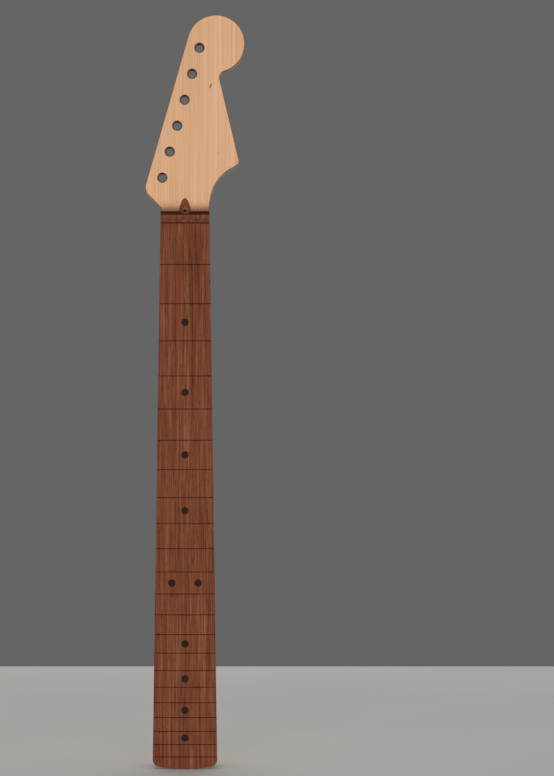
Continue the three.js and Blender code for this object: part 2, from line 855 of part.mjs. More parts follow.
addPiece("maple_neck", makeMaple(), maple);
addPiece("fretboard", makeBoard(), boardWood);
addPiece("skunk_stripe", makeStrip(), walnut);
addPiece("headstock_plug", makePlug(), walnut);
addPiece("truss_rod", makeRod(), steel);
addPiece("truss_rod_anchor", makeAnchor(), steel);
addPiece("truss_rod_washer", makeWasher(), steel);
addPiece("truss_rod_nut", makeTrussNut(), steel);
for (const place of faceDotPlaces()) {
  addPiece(place.name, faceDotBar(place, 0).intersect(boardSolid), blackDot);
}
for (const place of sideDotPlaces()) {
  addPiece(place.name, sideDotBar(place, 0).intersect(boardSolid), blackDot);
}

export default neck;
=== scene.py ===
# %% [markdown]
# # An electric guitar neck, piece by piece
#
# This lesson dresses a bare bolt-on guitar neck: maple, a dark fretboard with empty fret slots,
# and a truss rod under a walnut strip. The solids come from a CAD model that has been packed
# already. Each piece that shows is built again here, finer, in the same place, and rides on the
# body of the CAD model that it belongs to.

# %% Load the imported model
import json
import math

import bmesh
import bpy
import numpy as np
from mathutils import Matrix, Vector


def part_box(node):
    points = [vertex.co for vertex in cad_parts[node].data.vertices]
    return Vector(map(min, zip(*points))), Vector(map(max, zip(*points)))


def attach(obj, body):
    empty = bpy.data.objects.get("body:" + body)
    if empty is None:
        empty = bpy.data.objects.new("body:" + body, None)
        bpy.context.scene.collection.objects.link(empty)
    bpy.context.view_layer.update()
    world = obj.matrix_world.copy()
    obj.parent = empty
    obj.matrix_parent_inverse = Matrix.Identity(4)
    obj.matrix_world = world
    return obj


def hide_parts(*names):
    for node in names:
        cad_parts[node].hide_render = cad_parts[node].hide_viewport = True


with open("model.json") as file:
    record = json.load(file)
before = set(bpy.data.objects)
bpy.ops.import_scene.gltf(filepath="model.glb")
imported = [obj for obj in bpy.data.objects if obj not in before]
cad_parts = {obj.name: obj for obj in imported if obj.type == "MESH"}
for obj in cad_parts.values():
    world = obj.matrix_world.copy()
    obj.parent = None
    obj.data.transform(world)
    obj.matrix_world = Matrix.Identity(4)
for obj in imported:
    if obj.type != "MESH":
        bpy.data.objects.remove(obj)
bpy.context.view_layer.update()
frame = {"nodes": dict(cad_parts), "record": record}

# %% [markdown]
# ## Units and the frame
#
# A guitar maker thinks in millimetres and Blender in metres. All sizes below are millimetres,
# and one helper turns them into metres when it makes a mesh. Z runs up the neck, -Y is the
# playing side, +X the treble side. What the CAD model can say is asked of it, not typed again.

# %% Places that the CAD model gives
MM = 0.001


def box_in_mm(node):
    low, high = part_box(node)
    return low / MM, high / MM


neck_low, neck_high = box_in_mm("maple_neck")
board_low, board_high = box_in_mm("fretboard")
HEEL_END_Z = neck_low.z
HEAD_TOP_Z = neck_high.z
BOARD_END_Z = board_low.z
CROWN_Y = board_low.y
GLUE_Y = board_high.y
print(f"crown at y {CROWN_Y:.2f}, glue line at y {GLUE_Y:.2f}, top at z {HEAD_TOP_Z:.2f}")

# %% Sizes of the neck
SCALE_LENGTH = 647.7
FRETS = 22
FRETS_IN_OCTAVE = 12
WIDTH_AT_NUT = 42.9
WIDTH_AT_END = 56.2
BOARD_PAST_LAST_FRET = 10.7
BOARD_BEHIND_NUT_SLOT = 3.6
FRET_SLOT_WIDTH = 0.6
FRET_SLOT_DEPTH = 2.4
NUT_SLOT_WIDTH = 3.3
NUT_SLOT_DEPTH = 2.6
NUT_KERF_WIDTH = 1.1
NUT_KERF_DEEPER = 0.5


def fret_distance(fret):
    return SCALE_LENGTH * (1 - 2 ** (-fret / FRETS_IN_OCTAVE))


NUT_Z = BOARD_END_Z + BOARD_PAST_LAST_FRET + fret_distance(FRETS)
BOARD_TOP_Z = NUT_Z + NUT_SLOT_WIDTH + BOARD_BEHIND_NUT_SLOT


def half_width(z):
    share = np.maximum((NUT_Z - z) / (NUT_Z - BOARD_END_Z), 0)
    return (WIDTH_AT_NUT + (WIDTH_AT_END - WIDTH_AT_NUT) * share) / 2


print(f"nut line at z {NUT_Z:.2f}, top of the fretboard at z {BOARD_TOP_Z:.2f}")

# %% [markdown]
# ## Small tools for making meshes
#
# Almost every piece of a neck is either a stack of slices, a turned part, or a flat shape cut
# out with a saw. So one loft that joins slices is enough, with three short helpers that feed it:
# a turned shape about any axis, a prism and a block. Cuts are made with the exact boolean, which
# takes a tool's shape out of the wood as a router would.

# %% A mesh from points in millimetres
def new_piece(name, points, faces):
    mesh = bpy.data.meshes.new(name)
    mesh.from_pydata((np.asarray(points, dtype=float) * MM).tolist(), [], faces)
    piece = bpy.data.objects.new(name, mesh)
    bpy.context.scene.collection.objects.link(piece)
    shape = bmesh.new()
    shape.from_mesh(mesh)
    bmesh.ops.recalc_face_normals(shape, faces=shape.faces)
    shape.to_mesh(mesh)
    shape.free()
    return piece


def loft(name, rings, caps=None):
    """Rings of equal count, joined into a closed skin. Its ends are flat faces or the caps."""
    rings = np.asarray(rings, dtype=float)
    count = rings.shape[1]
    last = (len(rings) - 1) * count
    faces = list(caps or [tuple(range(count)), tuple(range(last, last + count))])
    for low in range(0, last, count):
        for i in range(count):
            j = (i + 1) % count
            faces.append((low + i, low + j, low + count + j, low + count + i))
    return new_piece(name, rings.reshape(-1, 3), faces)


# %% A turned shape about any axis
def turned(name, origin, axis, profile, sides=64):
    """A profile of (distance along the axis, radius), with a flat end at both ends."""
    axis = Vector(axis).normalized()
    side = axis.orthogonal().normalized()
    other = axis.cross(side)
    rings = []
    for along, radius in profile:
        centre = Vector(origin) + axis * along
        ring = []
        for i in range(sides):
            angle = 2 * math.pi * i / sides
            ring.append(centre + (side * math.cos(angle) + other * math.sin(angle)) * radius)
        rings.append(ring)
    return loft(name, rings)


def prism(name, outline, low_x, high_x):
    """An outline in y and z, drawn out sideways."""
    rings = [[(x, y, z) for y, z in outline] for x in (low_x, high_x)]
    return loft(name, rings)


def block(name, low, high):
    (x0, y0, z0), (x1, y1, z1) = low, high
    rings = [[(x0, y0, z), (x1, y0, z), (x1, y1, z), (x0, y1, z)] for z in (z0, z1)]
    return loft(name, rings)


# %% Cuts and joins
def joined(name, pieces, material):
    """Several loose cutters as one object, with the look of the cut that they make."""
    shape = bmesh.new()
    for piece in pieces:
        shape.from_mesh(piece.data)
        bpy.data.objects.remove(piece)
    mesh = bpy.data.meshes.new(name)
    shape.to_mesh(mesh)
    shape.free()
    mesh.materials.append(material)
    whole = bpy.data.objects.new(name, mesh)
    bpy.context.scene.collection.objects.link(whole)
    return whole


def apply_modifiers(piece):
    depsgraph = bpy.context.evaluated_depsgraph_get()
    mesh = bpy.data.meshes.new_from_object(piece.evaluated_get(depsgraph))
    piece.modifiers.clear()
    piece.data = mesh


def carve(piece, tool, operation="DIFFERENCE", keep_tool=False):
    """Cuts with a tool. The cut takes the tool's material, where it has one."""
    cut = piece.modifiers.new("cut", "BOOLEAN")
    cut.operation = operation
    cut.solver = "EXACT"
    cut.material_mode = "TRANSFER"
    cut.object = tool
    apply_modifiers(piece)
    if not keep_tool:
        bpy.data.objects.remove(tool)


SHARP_EDGE = math.radians(32)
MERGE_WITHIN = 0.002


def finish_piece(piece, node, material=None):
    """Cleans a cut mesh, shades it smooth up to its sharp edges, hangs it on the neck's body and
    hides its CAD node.
    """
    shape = bmesh.new()
    shape.from_mesh(piece.data)
    bmesh.ops.remove_doubles(shape, verts=shape.verts, dist=MERGE_WITHIN * MM)
    bmesh.ops.dissolve_degenerate(shape, edges=shape.edges, dist=MERGE_WITHIN * MM)
    shape.to_mesh(piece.data)
    shape.free()
    piece.data.shade_smooth()
    piece.data.set_sharp_from_angle(angle=SHARP_EDGE)
    if material:
        piece.data.materials.clear()
        piece.data.materials.append(material)
    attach(piece, "neck")
    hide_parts(node)
    print(f"{piece.name}: {len(piece.data.polygons)} faces")


# %% [markdown]
# ## The outline of the neck
#
# Seen from the front, a neck is a long taper with a bowed end, and a headstock that is all arcs
# and straight lines. Its two edges never double back on their way up. So each edge can be a list
# of points in rising order, and any slice across the neck is found by reading both lists.

# %% Arcs and rounded corners
ARC_STEP = math.radians(2.5)
FEWEST_ARC_STEPS = 6


def arc(centre, radius, start, end, steps=None):
    steps = steps or max(int(abs(end - start) / ARC_STEP), FEWEST_ARC_STEPS)
    angles = np.linspace(start, end, steps + 1)
    return [(centre[0] + radius * math.cos(a), centre[1] + radius * math.sin(a)) for a in angles]


def rounded_corner(before, corner, after, radius):
    """The arc that takes a path round a corner."""
    before, corner, after = (np.array(p, dtype=float) for p in (before, corner, after))
    back = (before - corner) / np.linalg.norm(before - corner)
    on = (after - corner) / np.linalg.norm(after - corner)
    half_angle = math.acos(back @ on) / 2
    inward = (back + on) / np.linalg.norm(back + on)
    centre = corner + inward * radius / math.sin(half_angle)
    reach = radius / math.tan(half_angle)
    first, last = corner + back * reach - centre, corner + on * reach - centre
    start = math.atan2(first[1], first[0])
    turn = math.atan2(first[0] * last[1] - first[1] * last[0], first @ last)
    return arc(centre, radius, start, start + turn)


# %% The bowed end of heel and fretboard
HEEL_BOW_RADIUS = 112
HEEL_CORNER_RADIUS = 5.5


def bowed_end(end_z):
    """The treble half of a bowed end, from its lowest point to the straight edge."""
    corner_x = half_width(end_z) - HEEL_CORNER_RADIUS
    bow_z = end_z + HEEL_BOW_RADIUS
    rise = math.sqrt((HEEL_BOW_RADIUS - HEEL_CORNER_RADIUS) ** 2 - corner_x**2)
    meeting = math.atan2(rise, corner_x)
    bow = arc((0, bow_z), HEEL_BOW_RADIUS, -math.pi / 2, -meeting)
    corner = arc((corner_x, bow_z - rise), HEEL_CORNER_RADIUS, -meeting, 0)
    return bow + corner[1:]


# %% Sizes of the headstock, with heights above the nut line
TIP_RADIUS = 25.5
TIP_X = 27.15
TIP_Z = HEAD_TOP_Z - TIP_RADIUS
TUNER_EDGE_ANGLE = math.radians(16)
BASS_CORNER_HEIGHT = 28.8
BASS_CORNER_RADIUS = 10.7
BASS_THROAT_ANGLE = math.radians(46)
HORN_X = 48.3
HORN_HEIGHT = 52.56
HORN_RADIUS = 3.6
HORN_EDGE_ANGLE = math.radians(13.4)
NOTCH_RADIUS = 5.5
UNDERSIDE_ANGLE = math.radians(31)
UNDERSIDE_RADIUS = 34
THROAT_RADIUS = 56
THROAT_ANGLE = math.radians(18)


# %% The treble edge
def treble_edge():
    edge = half_width(NUT_Z)
    steep = math.pi / 2 - UNDERSIDE_ANGLE
    horn = np.array((HORN_X, NUT_Z + HORN_HEIGHT))
    throat_run = THROAT_RADIUS * (1 - math.cos(THROAT_ANGLE))
    throat_rise = THROAT_RADIUS * math.sin(THROAT_ANGLE)
    under_run = UNDERSIDE_RADIUS * (math.cos(THROAT_ANGLE) - math.cos(steep))
    under_rise = UNDERSIDE_RADIUS * (math.sin(steep) - math.sin(THROAT_ANGLE))
    under_x = edge + throat_run + under_run
    under_z = horn[1] - (horn[0] - under_x) * math.tan(UNDERSIDE_ANGLE)
    throat_z = under_z - under_rise - throat_rise
    turned_to = math.pi - THROAT_ANGLE
    path = bowed_end(HEEL_END_Z)
    path += arc((edge + THROAT_RADIUS, throat_z), THROAT_RADIUS, math.pi, turned_to)
    under_centre = (
        under_x + UNDERSIDE_RADIUS * math.cos(steep),
        under_z - UNDERSIDE_RADIUS * math.sin(steep),
    )
    path += arc(under_centre, UNDERSIDE_RADIUS, turned_to, math.pi - steep)[1:]
    up_edge = np.array((-math.sin(HORN_EDGE_ANGLE), math.cos(HORN_EDGE_ANGLE)))
    path += rounded_corner((under_x, under_z), horn, horn + up_edge, HORN_RADIUS)
    return path + notch_and_tip(horn, up_edge)


def notch_and_tip(horn, up_edge):
    """The notch is a circle that touches the horn's edge and the round tip."""
    tip = np.array((TIP_X, TIP_Z))
    outward = np.array((up_edge[1], -up_edge[0]))
    offset = horn + outward * NOTCH_RADIUS - tip
    along = offset @ up_edge
    apart = offset @ offset - (TIP_RADIUS + NOTCH_RADIUS) ** 2
    notch = tip + offset + up_edge * (-along - math.sqrt(along**2 - apart))
    from_tip = math.atan2(notch[1] - tip[1], notch[0] - tip[0])
    leaving = math.atan2(outward[1], outward[0]) + math.pi
    hollow = arc(notch, NOTCH_RADIUS, leaving, from_tip + math.pi)
    return hollow + arc(tip, TIP_RADIUS, from_tip, math.pi / 2)[1:]


# %% The bass edge
def tuner_edge_point(z):
    touch_x = TIP_X - TIP_RADIUS * math.cos(TUNER_EDGE_ANGLE)
    touch_z = TIP_Z + TIP_RADIUS * math.sin(TUNER_EDGE_ANGLE)
    return (touch_x - (touch_z - z) * math.tan(TUNER_EDGE_ANGLE), z)


def bass_edge():
    edge = half_width(NUT_Z)
    corner = tuner_edge_point(NUT_Z + BASS_CORNER_HEIGHT)
    tangent = tuner_edge_point(TIP_Z + TIP_RADIUS * math.sin(TUNER_EDGE_ANGLE))
    throat = (-edge, corner[1] - (-edge - corner[0]) / math.tan(BASS_THROAT_ANGLE))
    path = [(-x, z) for x, z in bowed_end(HEEL_END_Z)]
    path += [(-edge, NUT_Z), throat]
    path += rounded_corner(throat, corner, tangent, BASS_CORNER_RADIUS)
    return path + arc((TIP_X, TIP_Z), TIP_RADIUS, math.pi - TUNER_EDGE_ANGLE, math.pi / 2)


def taper_edge_at(path):
    """Adds the nut line to a treble path, where the taper ends."""
    below = [p for p in path if p[1] < NUT_Z]
    above = [p for p in path if p[1] > NUT_Z]
    return below + [(half_width(NUT_Z), NUT_Z)] + above


TREBLE = np.array(taper_edge_at(treble_edge()))
BASS = np.array(bass_edge())
print(f"treble edge {len(TREBLE)} points, bass edge {len(BASS)} points")

# %% [markdown]
# ## The surfaces of the maple
#
# The front is flat under the fretboard. Above it a big round cutter leaves a curve that runs out
# into the flat face of the headstock. The back is an oval that is fuller than an ellipse, called
# a superellipse. It scoops up to the flat heel at one end and to the headstock at the other, and
# the round dies out earlier on the bass side than on the treble side. Both surfaces are heights
# over the outline, so they can be formulas.

# %% Sizes of the front and the back
HEAD_FACE_Y = CROWN_Y + 11.1
HEAD_CURVE_RADIUS = 16
THINNER_AT_NUT = 5
THINNER_AT_HEEL = 2.8
FULLNESS = 2.25
PAST_EDGE = 0.3
ROUNDED_SHARE = 0.98
CORNER_HEIGHT_SHARE = 0.6
HEEL_FLAT_TOP = 43.6
HEEL_CORNER_FADE = 6
HEEL_SCOOP_RADIUS = 12
HEAD_SCOOP_RADIUS = 24
HEAD_SCOOP_TOP = 10.3
# How far above the nut line the round is gone, on each side.
FADE_TOP = {"bass": 29, "treble": 42}
# The share of that way at which it has mostly gone, and how suddenly it goes there.
HEAD_FLAT_KNEE = {"bass": (0.27, 1.7), "treble": (0.5, 1.3)}
HEEL_FLAT_SHARE = 2.4
CREASE_RADIUS = 0.5
HEAD_CREASE_RADIUS = 1.6

FULL_DEPTH = -GLUE_Y
HEAD_CURVE_Z = BOARD_TOP_Z + math.sqrt(
    HEAD_CURVE_RADIUS**2 - (HEAD_CURVE_RADIUS - (HEAD_FACE_Y - CROWN_Y)) ** 2
)


def shaft_depth(z):
    share = np.clip((NUT_Z - z) / NUT_Z, 0, 1)
    return FULL_DEPTH - (THINNER_AT_NUT + (THINNER_AT_HEEL - THINNER_AT_NUT) * share)


def scoop_run(rise, radius):
    return math.sqrt(radius**2 - (radius - rise) ** 2)


def scoop_rise(distance, radius):
    run = np.clip(distance, 0, radius)
    return radius - np.sqrt(radius**2 - run**2)


HEEL_CORNER_Z = HEEL_FLAT_TOP - HEEL_CORNER_FADE
HEEL_SCOOP_Z = HEEL_FLAT_TOP + scoop_run(
    FULL_DEPTH - shaft_depth(HEEL_FLAT_TOP), HEEL_SCOOP_RADIUS
)
HEAD_FLAT_Z = NUT_Z + HEAD_SCOOP_TOP
HEAD_SCOOP_Z = HEAD_FLAT_Z - scoop_run(FULL_DEPTH - shaft_depth(NUT_Z), HEAD_SCOOP_RADIUS)


# %% The front surface
def face_curve(z):
    """The headstock's face, and the round step that leads up to it."""
    below = min(max(HEAD_CURVE_Z - z, 0), HEAD_CURVE_RADIUS)
    return HEAD_FACE_Y - HEAD_CURVE_RADIUS + math.sqrt(HEAD_CURVE_RADIUS**2 - below**2)


def front_height(z):
    """The flat under the fretboard, then the curve past it."""
    return max(GLUE_Y, face_curve(z))


# %% The back surface
def flat_share(z, side):
    """The share of one side's width that has turned from round to flat."""
    fade = NUT_Z + FADE_TOP[side] - HEAD_FLAT_Z
    head_run = np.clip((z - HEAD_FLAT_Z) / fade, 0, 1)
    heel_run = np.clip((HEEL_SCOOP_Z - z) / (HEEL_SCOOP_Z - HEEL_CORNER_Z), 0, 1)
    knee, power = HEAD_FLAT_KNEE[side]
    head_share = (1 - math.exp(-((head_run / knee) ** power))) / (1 - math.exp(-(knee**-power)))
    return max(head_share, 1 - (1 - heel_run) ** HEEL_FLAT_SHARE)


def softened(height, limit, radius):
    """The lower of a height and a limit, with the crease between them rounded off."""
    gap = np.clip(0.5 + 0.5 * (limit - height) / radius, 0, 1)
    return limit * (1 - gap) + height * gap - radius * gap * (1 - gap)


def back_height(x, z, edge_x, side):
    """How far back the maple stands at each x of one half of a slice."""
    rise = scoop_rise(HEEL_SCOOP_Z - z, HEEL_SCOOP_RADIUS)
    rise = rise + scoop_rise(z - HEAD_SCOOP_Z, HEAD_SCOOP_RADIUS)
    crease = CREASE_RADIUS if z < NUT_Z / 2 else HEAD_CREASE_RADIUS
    depth = min(shaft_depth(z) + rise, FULL_DEPTH + crease)
    reach = abs(edge_x) + PAST_EDGE
    share = (1 - flat_share(z, side)) * ROUNDED_SHARE
    width = max(reach * share, PAST_EDGE)
    height = max(depth * share**CORNER_HEIGHT_SHARE, PAST_EDGE)
    into = np.clip((np.abs(x) - (reach - width)) / width, 0, 1)
    y = GLUE_Y + depth - height + height * (1 - into**FULLNESS) ** (1 / FULLNESS)
    return softened(y, 0.0, crease)


# %% [markdown]
# ## Slicing the maple
#
# The neck is lofted from slices across it. Where an edge runs nearly level, as round the tip or
# under the notch, slices lie close together, and along the plain shaft far apart. The corners of
# the real headstock are sanded over by a millimetre or so. That little round is worked out from
# the distance to the outline, so it follows every curve by itself.

# %% Where the slices lie
END_SLICE_INSET = 0.01
# From each height on, a slice every so many millimetres.
SLICE_STEPS = [
    (HEEL_END_Z, 0.1),
    (HEEL_END_Z + 1.2, 0.4),
    (HEEL_END_Z + 8, 5),
    (HEEL_CORNER_Z, 0.6),
    (HEEL_SCOOP_Z, 6),
    (HEAD_SCOOP_Z, 0.7),
    (HEAD_FLAT_Z, 0.45),
    (NUT_Z + HORN_HEIGHT - 4, 0.15),
    (NUT_Z + HORN_HEIGHT + 1, 2.5),
    (TIP_Z - 40, 0.15),
    (TIP_Z - 18, 0.6),
    (TIP_Z + 14, 0.3),
    (HEAD_TOP_Z - 2, 0.08),
    (HEAD_TOP_Z - END_SLICE_INSET, 1),
]


def slice_places(steps):
    places = []
    for (start, step), (end, _) in zip(steps, steps[1:]):
        count = max(round((end - start) / step), 1)
        places += list(np.linspace(start, end, count, endpoint=False))
    places.append(steps[-1][0])
    places[0] += END_SLICE_INSET
    return places


# %% Where each slice has its points
NEAR_EDGE = np.array([0, 0.03, 0.1, 0.2, 0.34, 0.52, 0.8, 1.2, 1.8, 2.7])
INNER_SHARES = np.array([0.05, 0.11, 0.18, 0.26, 0.35, 0.45, 0.56, 0.7, 0.85, 1])
MIDDLE_MOVES_FROM = NUT_Z + 45
MIDDLE_MOVES_OVER = 60


def ramp(value, low, high):
    """From 0 to 1 between two values, with a soft start and end."""
    share = min(max((value - low) / (high - low), 0), 1)
    return share * share * (3 - 2 * share)


def columns_to_middle(edge_x, middle):
    reach = abs(middle - edge_x)
    near = NEAR_EDGE * min(1, reach / (2 * NEAR_EDGE[-1]))
    inner = near[-1] + (reach - near[-1]) * INNER_SHARES
    return edge_x + math.copysign(1, middle - edge_x) * np.concatenate([near, inner])


def slice_columns(z):
    treble = float(np.interp(z, TREBLE[:, 1], TREBLE[:, 0]))
    bass = float(np.interp(z, BASS[:, 1], BASS[:, 0]))
    moved = ramp(z, MIDDLE_MOVES_FROM, MIDDLE_MOVES_FROM + MIDDLE_MOVES_OVER)
    middle = moved * (treble + bass) / 2
    return columns_to_middle(bass, middle), columns_to_middle(treble, middle)


# %% How far a point lies from an outline
OUTLINE = np.concatenate([BASS[::-1], TREBLE])
SMALLEST_LENGTH_SQUARED = 1e-12


def distance_to(outline, x, z):
    starts, runs = outline[:-1], outline[1:] - outline[:-1]
    lengths = np.maximum((runs**2).sum(axis=1), SMALLEST_LENGTH_SQUARED)
    points = np.stack([x, np.full_like(x, z)], axis=1)[:, None, :]
    share = ((points - starts) * runs).sum(axis=2) / lengths
    nearest = starts + runs * np.clip(share, 0, 1)[..., None]
    return np.sqrt(((points - nearest) ** 2).sum(axis=2)).min(axis=1)


def sanded(distance, radius):
    """How much a sanded edge falls away, at a distance from the outline."""
    if radius <= 0:
        return np.zeros_like(distance)
    inside = np.clip(distance, 0, radius)
    return radius - np.sqrt(np.maximum(radius**2 - (radius - inside) ** 2, 0))


# %% The maple, as it comes off the carving machine
HEAD_EDGE_RADIUS = 1.4
HEEL_EDGE_RADIUS = 0.45
FRONT_EDGE_STARTS_Z = BOARD_TOP_Z + 0.5
FRONT_EDGE_FULL_Z = BOARD_TOP_Z + 5
ROUND_NO_MORE_SHARE = 0.2
THINNEST = 0.01


def maple_slice(z):
    front_radius = HEAD_EDGE_RADIUS * ramp(z, FRONT_EDGE_STARTS_Z, FRONT_EDGE_FULL_Z)
    largest = HEEL_EDGE_RADIUS if z < NUT_Z / 2 else HEAD_EDGE_RADIUS
    halves = []
    for side, x in zip(("bass", "treble"), slice_columns(z)):
        distance = distance_to(OUTLINE, x, z)
        front = front_height(z) + sanded(distance, front_radius)
        back_radius = largest * ramp(flat_share(z, side), ROUND_NO_MORE_SHARE, 1)
        back = back_height(x, z, x[0], side) - sanded(distance, back_radius)
        halves.append(np.stack([x, front, np.maximum(back, front + THINNEST)]))
    bass, treble = halves
    x, front, back = np.concatenate([bass[:, :-1], treble[:, ::-1]], axis=1)
    ring = [(a, b, z) for a, b in zip(x, front)]
    return ring + [(a, b, z) for a, b in zip(x[::-1], back[::-1])]


def narrow_caps(rings):
    """Ends made of narrow faces from the front of a slice to its back, so that none is huge."""
    count = len(rings[0])
    caps = []
    for base in (0, (len(rings) - 1) * count):
        for i in range(count // 2 - 1):
            caps.append((base + i, base + i + 1, base + count - 2 - i, base + count - 1 - i))
    return caps


maple_rings = [maple_slice(z) for z in slice_places(SLICE_STEPS)]
maple_outside = loft("maple_outside", maple_rings, narrow_caps(maple_rings))
print("slices:", len(maple_rings), "faces:", len(maple_outside.data.polygons))

# %% [markdown]
# ## The truss rod's line
#
# Inside the neck a steel rod runs in a curved channel, from an anchor in the heel to a nut behind
# the key hole. It is deepest in the middle, so that tightening it bends the neck back against the
# strings. The curve is a quadratic Bezier between its two ends, and the nut sits on its axis.

# %% The adjuster's axis
def joint_named(name):
    joints = frame["record"]["behaviour"]["joints"]
    return next(joint for joint in joints if joint["name"] == name)


WASHER_THICKNESS = 1.2
LOOSE_FIT = 0.2
WASHER_SEAT_BELOW_NUT = 14
NUT_SEAT_BELOW_NUT = WASHER_SEAT_BELOW_NUT - WASHER_THICKNESS - 2 * LOOSE_FIT
TRUSS_NUT_RADIUS = 3.6
TRUSS_NUT_LENGTH = 11
SOCKET_DEPTH = 4
PLUG_RADIUS = 4.7625
PLUG_BOTTOM = NUT_SLOT_WIDTH + 1.3
PLUG_REACH = 60
KEY_HOLE_RADIUS = 1.6
KEY_HOLE_FORWARD = 0.4
CHAMBER_RADIUS = TRUSS_NUT_RADIUS + 0.4
ROD_RADIUS = 2.38
ROD_ROOM = ROD_RADIUS + 0.25
GLUE = 0.05

turn_joint = joint_named("truss_nut_turn")
ADJUSTER_AXIS = Vector(turn_joint["axis"]).normalized()
ADJUSTER_ORIGIN = Vector(turn_joint["pos_m"]) / MM + ADJUSTER_AXIS * NUT_SEAT_BELOW_NUT
PLUG_DEEPER = 0.15
PLUG_ORIGIN = ADJUSTER_ORIGIN + Vector((0, PLUG_DEEPER, 0))


def on_adjuster(along):
    """A point on the nut's axis, measured up from the nut line."""
    return ADJUSTER_ORIGIN + ADJUSTER_AXIS * along


print("the adjuster passes the nut line at y", round(ADJUSTER_ORIGIN.y, 3))

# %% The rod's curve, with depths from the glue line
STRIP_WIDTH = 6.35
STRIP_ENDS_BELOW_NUT = 40.6
STRIP_TOP_Z = NUT_Z - STRIP_ENDS_BELOW_NUT
ANCHOR_RADIUS = 4.75
ANCHOR_Z = 22.3
ROD_PAST_ANCHOR = 1.5
ROD_DEPTH_AT_ANCHOR = 4.15
ROD_DEPTH_AT_BEND = 12.15
ROD_BEND_BELOW_NUT = 5.6
ROD_BOTTOM = Vector((0, GLUE_Y + ROD_DEPTH_AT_ANCHOR, ANCHOR_Z - ROD_PAST_ANCHOR))
ROD_TOP = on_adjuster(-NUT_SEAT_BELOW_NUT + TRUSS_NUT_LENGTH - SOCKET_DEPTH - LOOSE_FIT)
ROD_BEND_Z = (ROD_BOTTOM.z + NUT_Z - ROD_BEND_BELOW_NUT) / 2
ROD_BEND = Vector((0, GLUE_Y + ROD_DEPTH_AT_BEND, ROD_BEND_Z))


def rod_point(share):
    a, b = ROD_BOTTOM.lerp(ROD_BEND, share), ROD_BEND.lerp(ROD_TOP, share)
    return a.lerp(b, share)


def rod_y(z):
    return rod_point((z - ROD_BOTTOM.z) / (ROD_TOP.z - ROD_BOTTOM.z)).y


print(f"the rod's axis lies at y {rod_y(ROD_BEND_Z):.2f} in the middle of its length")


# %% Cutters for the rod's channel and the strip's slot
OVERRUN = 5
SLOT_SLICES = 60
ROUND_END_SLICES = 16
CHANNEL_SHARE_OF_SLOT = 0.98
ANCHOR_WALL = 0.5
ANCHOR_ROOM = 0.1
ANCHOR_ROOM_IN_FRONT = 0.2


def slot_heights(radius):
    straight = np.linspace(ANCHOR_Z, STRIP_TOP_Z - radius, SLOT_SLICES, endpoint=False)
    turns = np.linspace(0, math.pi / 2, ROUND_END_SLICES, endpoint=False)
    return list(straight) + [STRIP_TOP_Z - radius + radius * math.sin(t) for t in turns]


def slot_half_width(z, radius):
    past = max(z - (STRIP_TOP_Z - radius), 0)
    return math.sqrt(radius**2 - past**2)


def channel_cutter():
    """A stepped slot: narrow where the rod lies, wide where the strip covers it."""
    rings = []
    radius = STRIP_WIDTH / 2 + GLUE
    for z in slot_heights(radius):
        wide = slot_half_width(z, radius)
        narrow = min(ROD_ROOM, wide * CHANNEL_SHARE_OF_SLOT)
        floor, shelf = rod_y(z) - ROD_ROOM, rod_y(z) + ROD_ROOM
        half = [(narrow, floor), (narrow, shelf), (wide, shelf), (wide, OVERRUN)]
        ring = [(x, y, z) for x, y in half] + [(-x, y, z) for x, y in reversed(half)]
        rings.append(ring)
    return loft("channel_cutter", rings)


def strip_blank():
    rings = []
    radius = STRIP_WIDTH / 2
    for z in slot_heights(radius):
        wide = slot_half_width(z, radius)
        under = rod_y(z) + ROD_ROOM + GLUE
        rings.append([(-wide, under, z), (wide, under, z), (wide, OVERRUN, z), (-wide, OVERRUN, z)])
    return loft("skunk_stripe_wood", rings)


def anchor_cutter():
    tip = ROD_BOTTOM.y - ROD_ROOM - ANCHOR_WALL - ANCHOR_ROOM_IN_FRONT
    radius = ANCHOR_RADIUS + ANCHOR_ROOM
    profile = [(tip, radius), (OVERRUN, radius)]
    return turned("anchor_cutter", (0, 0, ANCHOR_Z), (0, 1, 0), profile)


# %% A cutter for the nut's chamber, and the plug's shape
CHAMBER_PAST_PLUG = 1
# A shoulder rises over this length, as no two rings of a loft may coincide.
SHOULDER_LENGTH = 0.001
PLUG_SQUARENESS = 3
PLUG_SIDES = 72


def adjuster_cutter():
    """One stepped bore: the rod's, and the nut's chamber up to the plug."""
    rod_bore_start = (STRIP_TOP_Z - STRIP_WIDTH - NUT_Z) / ADJUSTER_AXIS.z
    steps = [
        (rod_bore_start, ROD_ROOM),
        (-WASHER_SEAT_BELOW_NUT, ROD_ROOM),
        (-WASHER_SEAT_BELOW_NUT + SHOULDER_LENGTH, CHAMBER_RADIUS),
        (PLUG_BOTTOM + CHAMBER_PAST_PLUG, CHAMBER_RADIUS),
    ]
    return turned("adjuster_cutter", ADJUSTER_ORIGIN, ADJUSTER_AXIS, steps)


def plug_blank(name, bottom, room=0.0):
    """Round towards the strings and squarer behind, so that its tip runs out full and blunt."""
    rings = []
    for along in (bottom, PLUG_REACH):
        centre = PLUG_ORIGIN + ADJUSTER_AXIS * along
        ring = []
        for i in range(PLUG_SIDES):
            angle = 2 * math.pi * i / PLUG_SIDES
            x, y = math.cos(angle), math.sin(angle)
            power = PLUG_SQUARENESS if y > 0 else 2
            radius = (PLUG_RADIUS + room) / (abs(x) ** power + abs(y) ** power) ** (1 / power)
            ring.append(centre + Vector((x, y, 0)) * radius)
        rings.append(ring)
    return loft(name, rings)


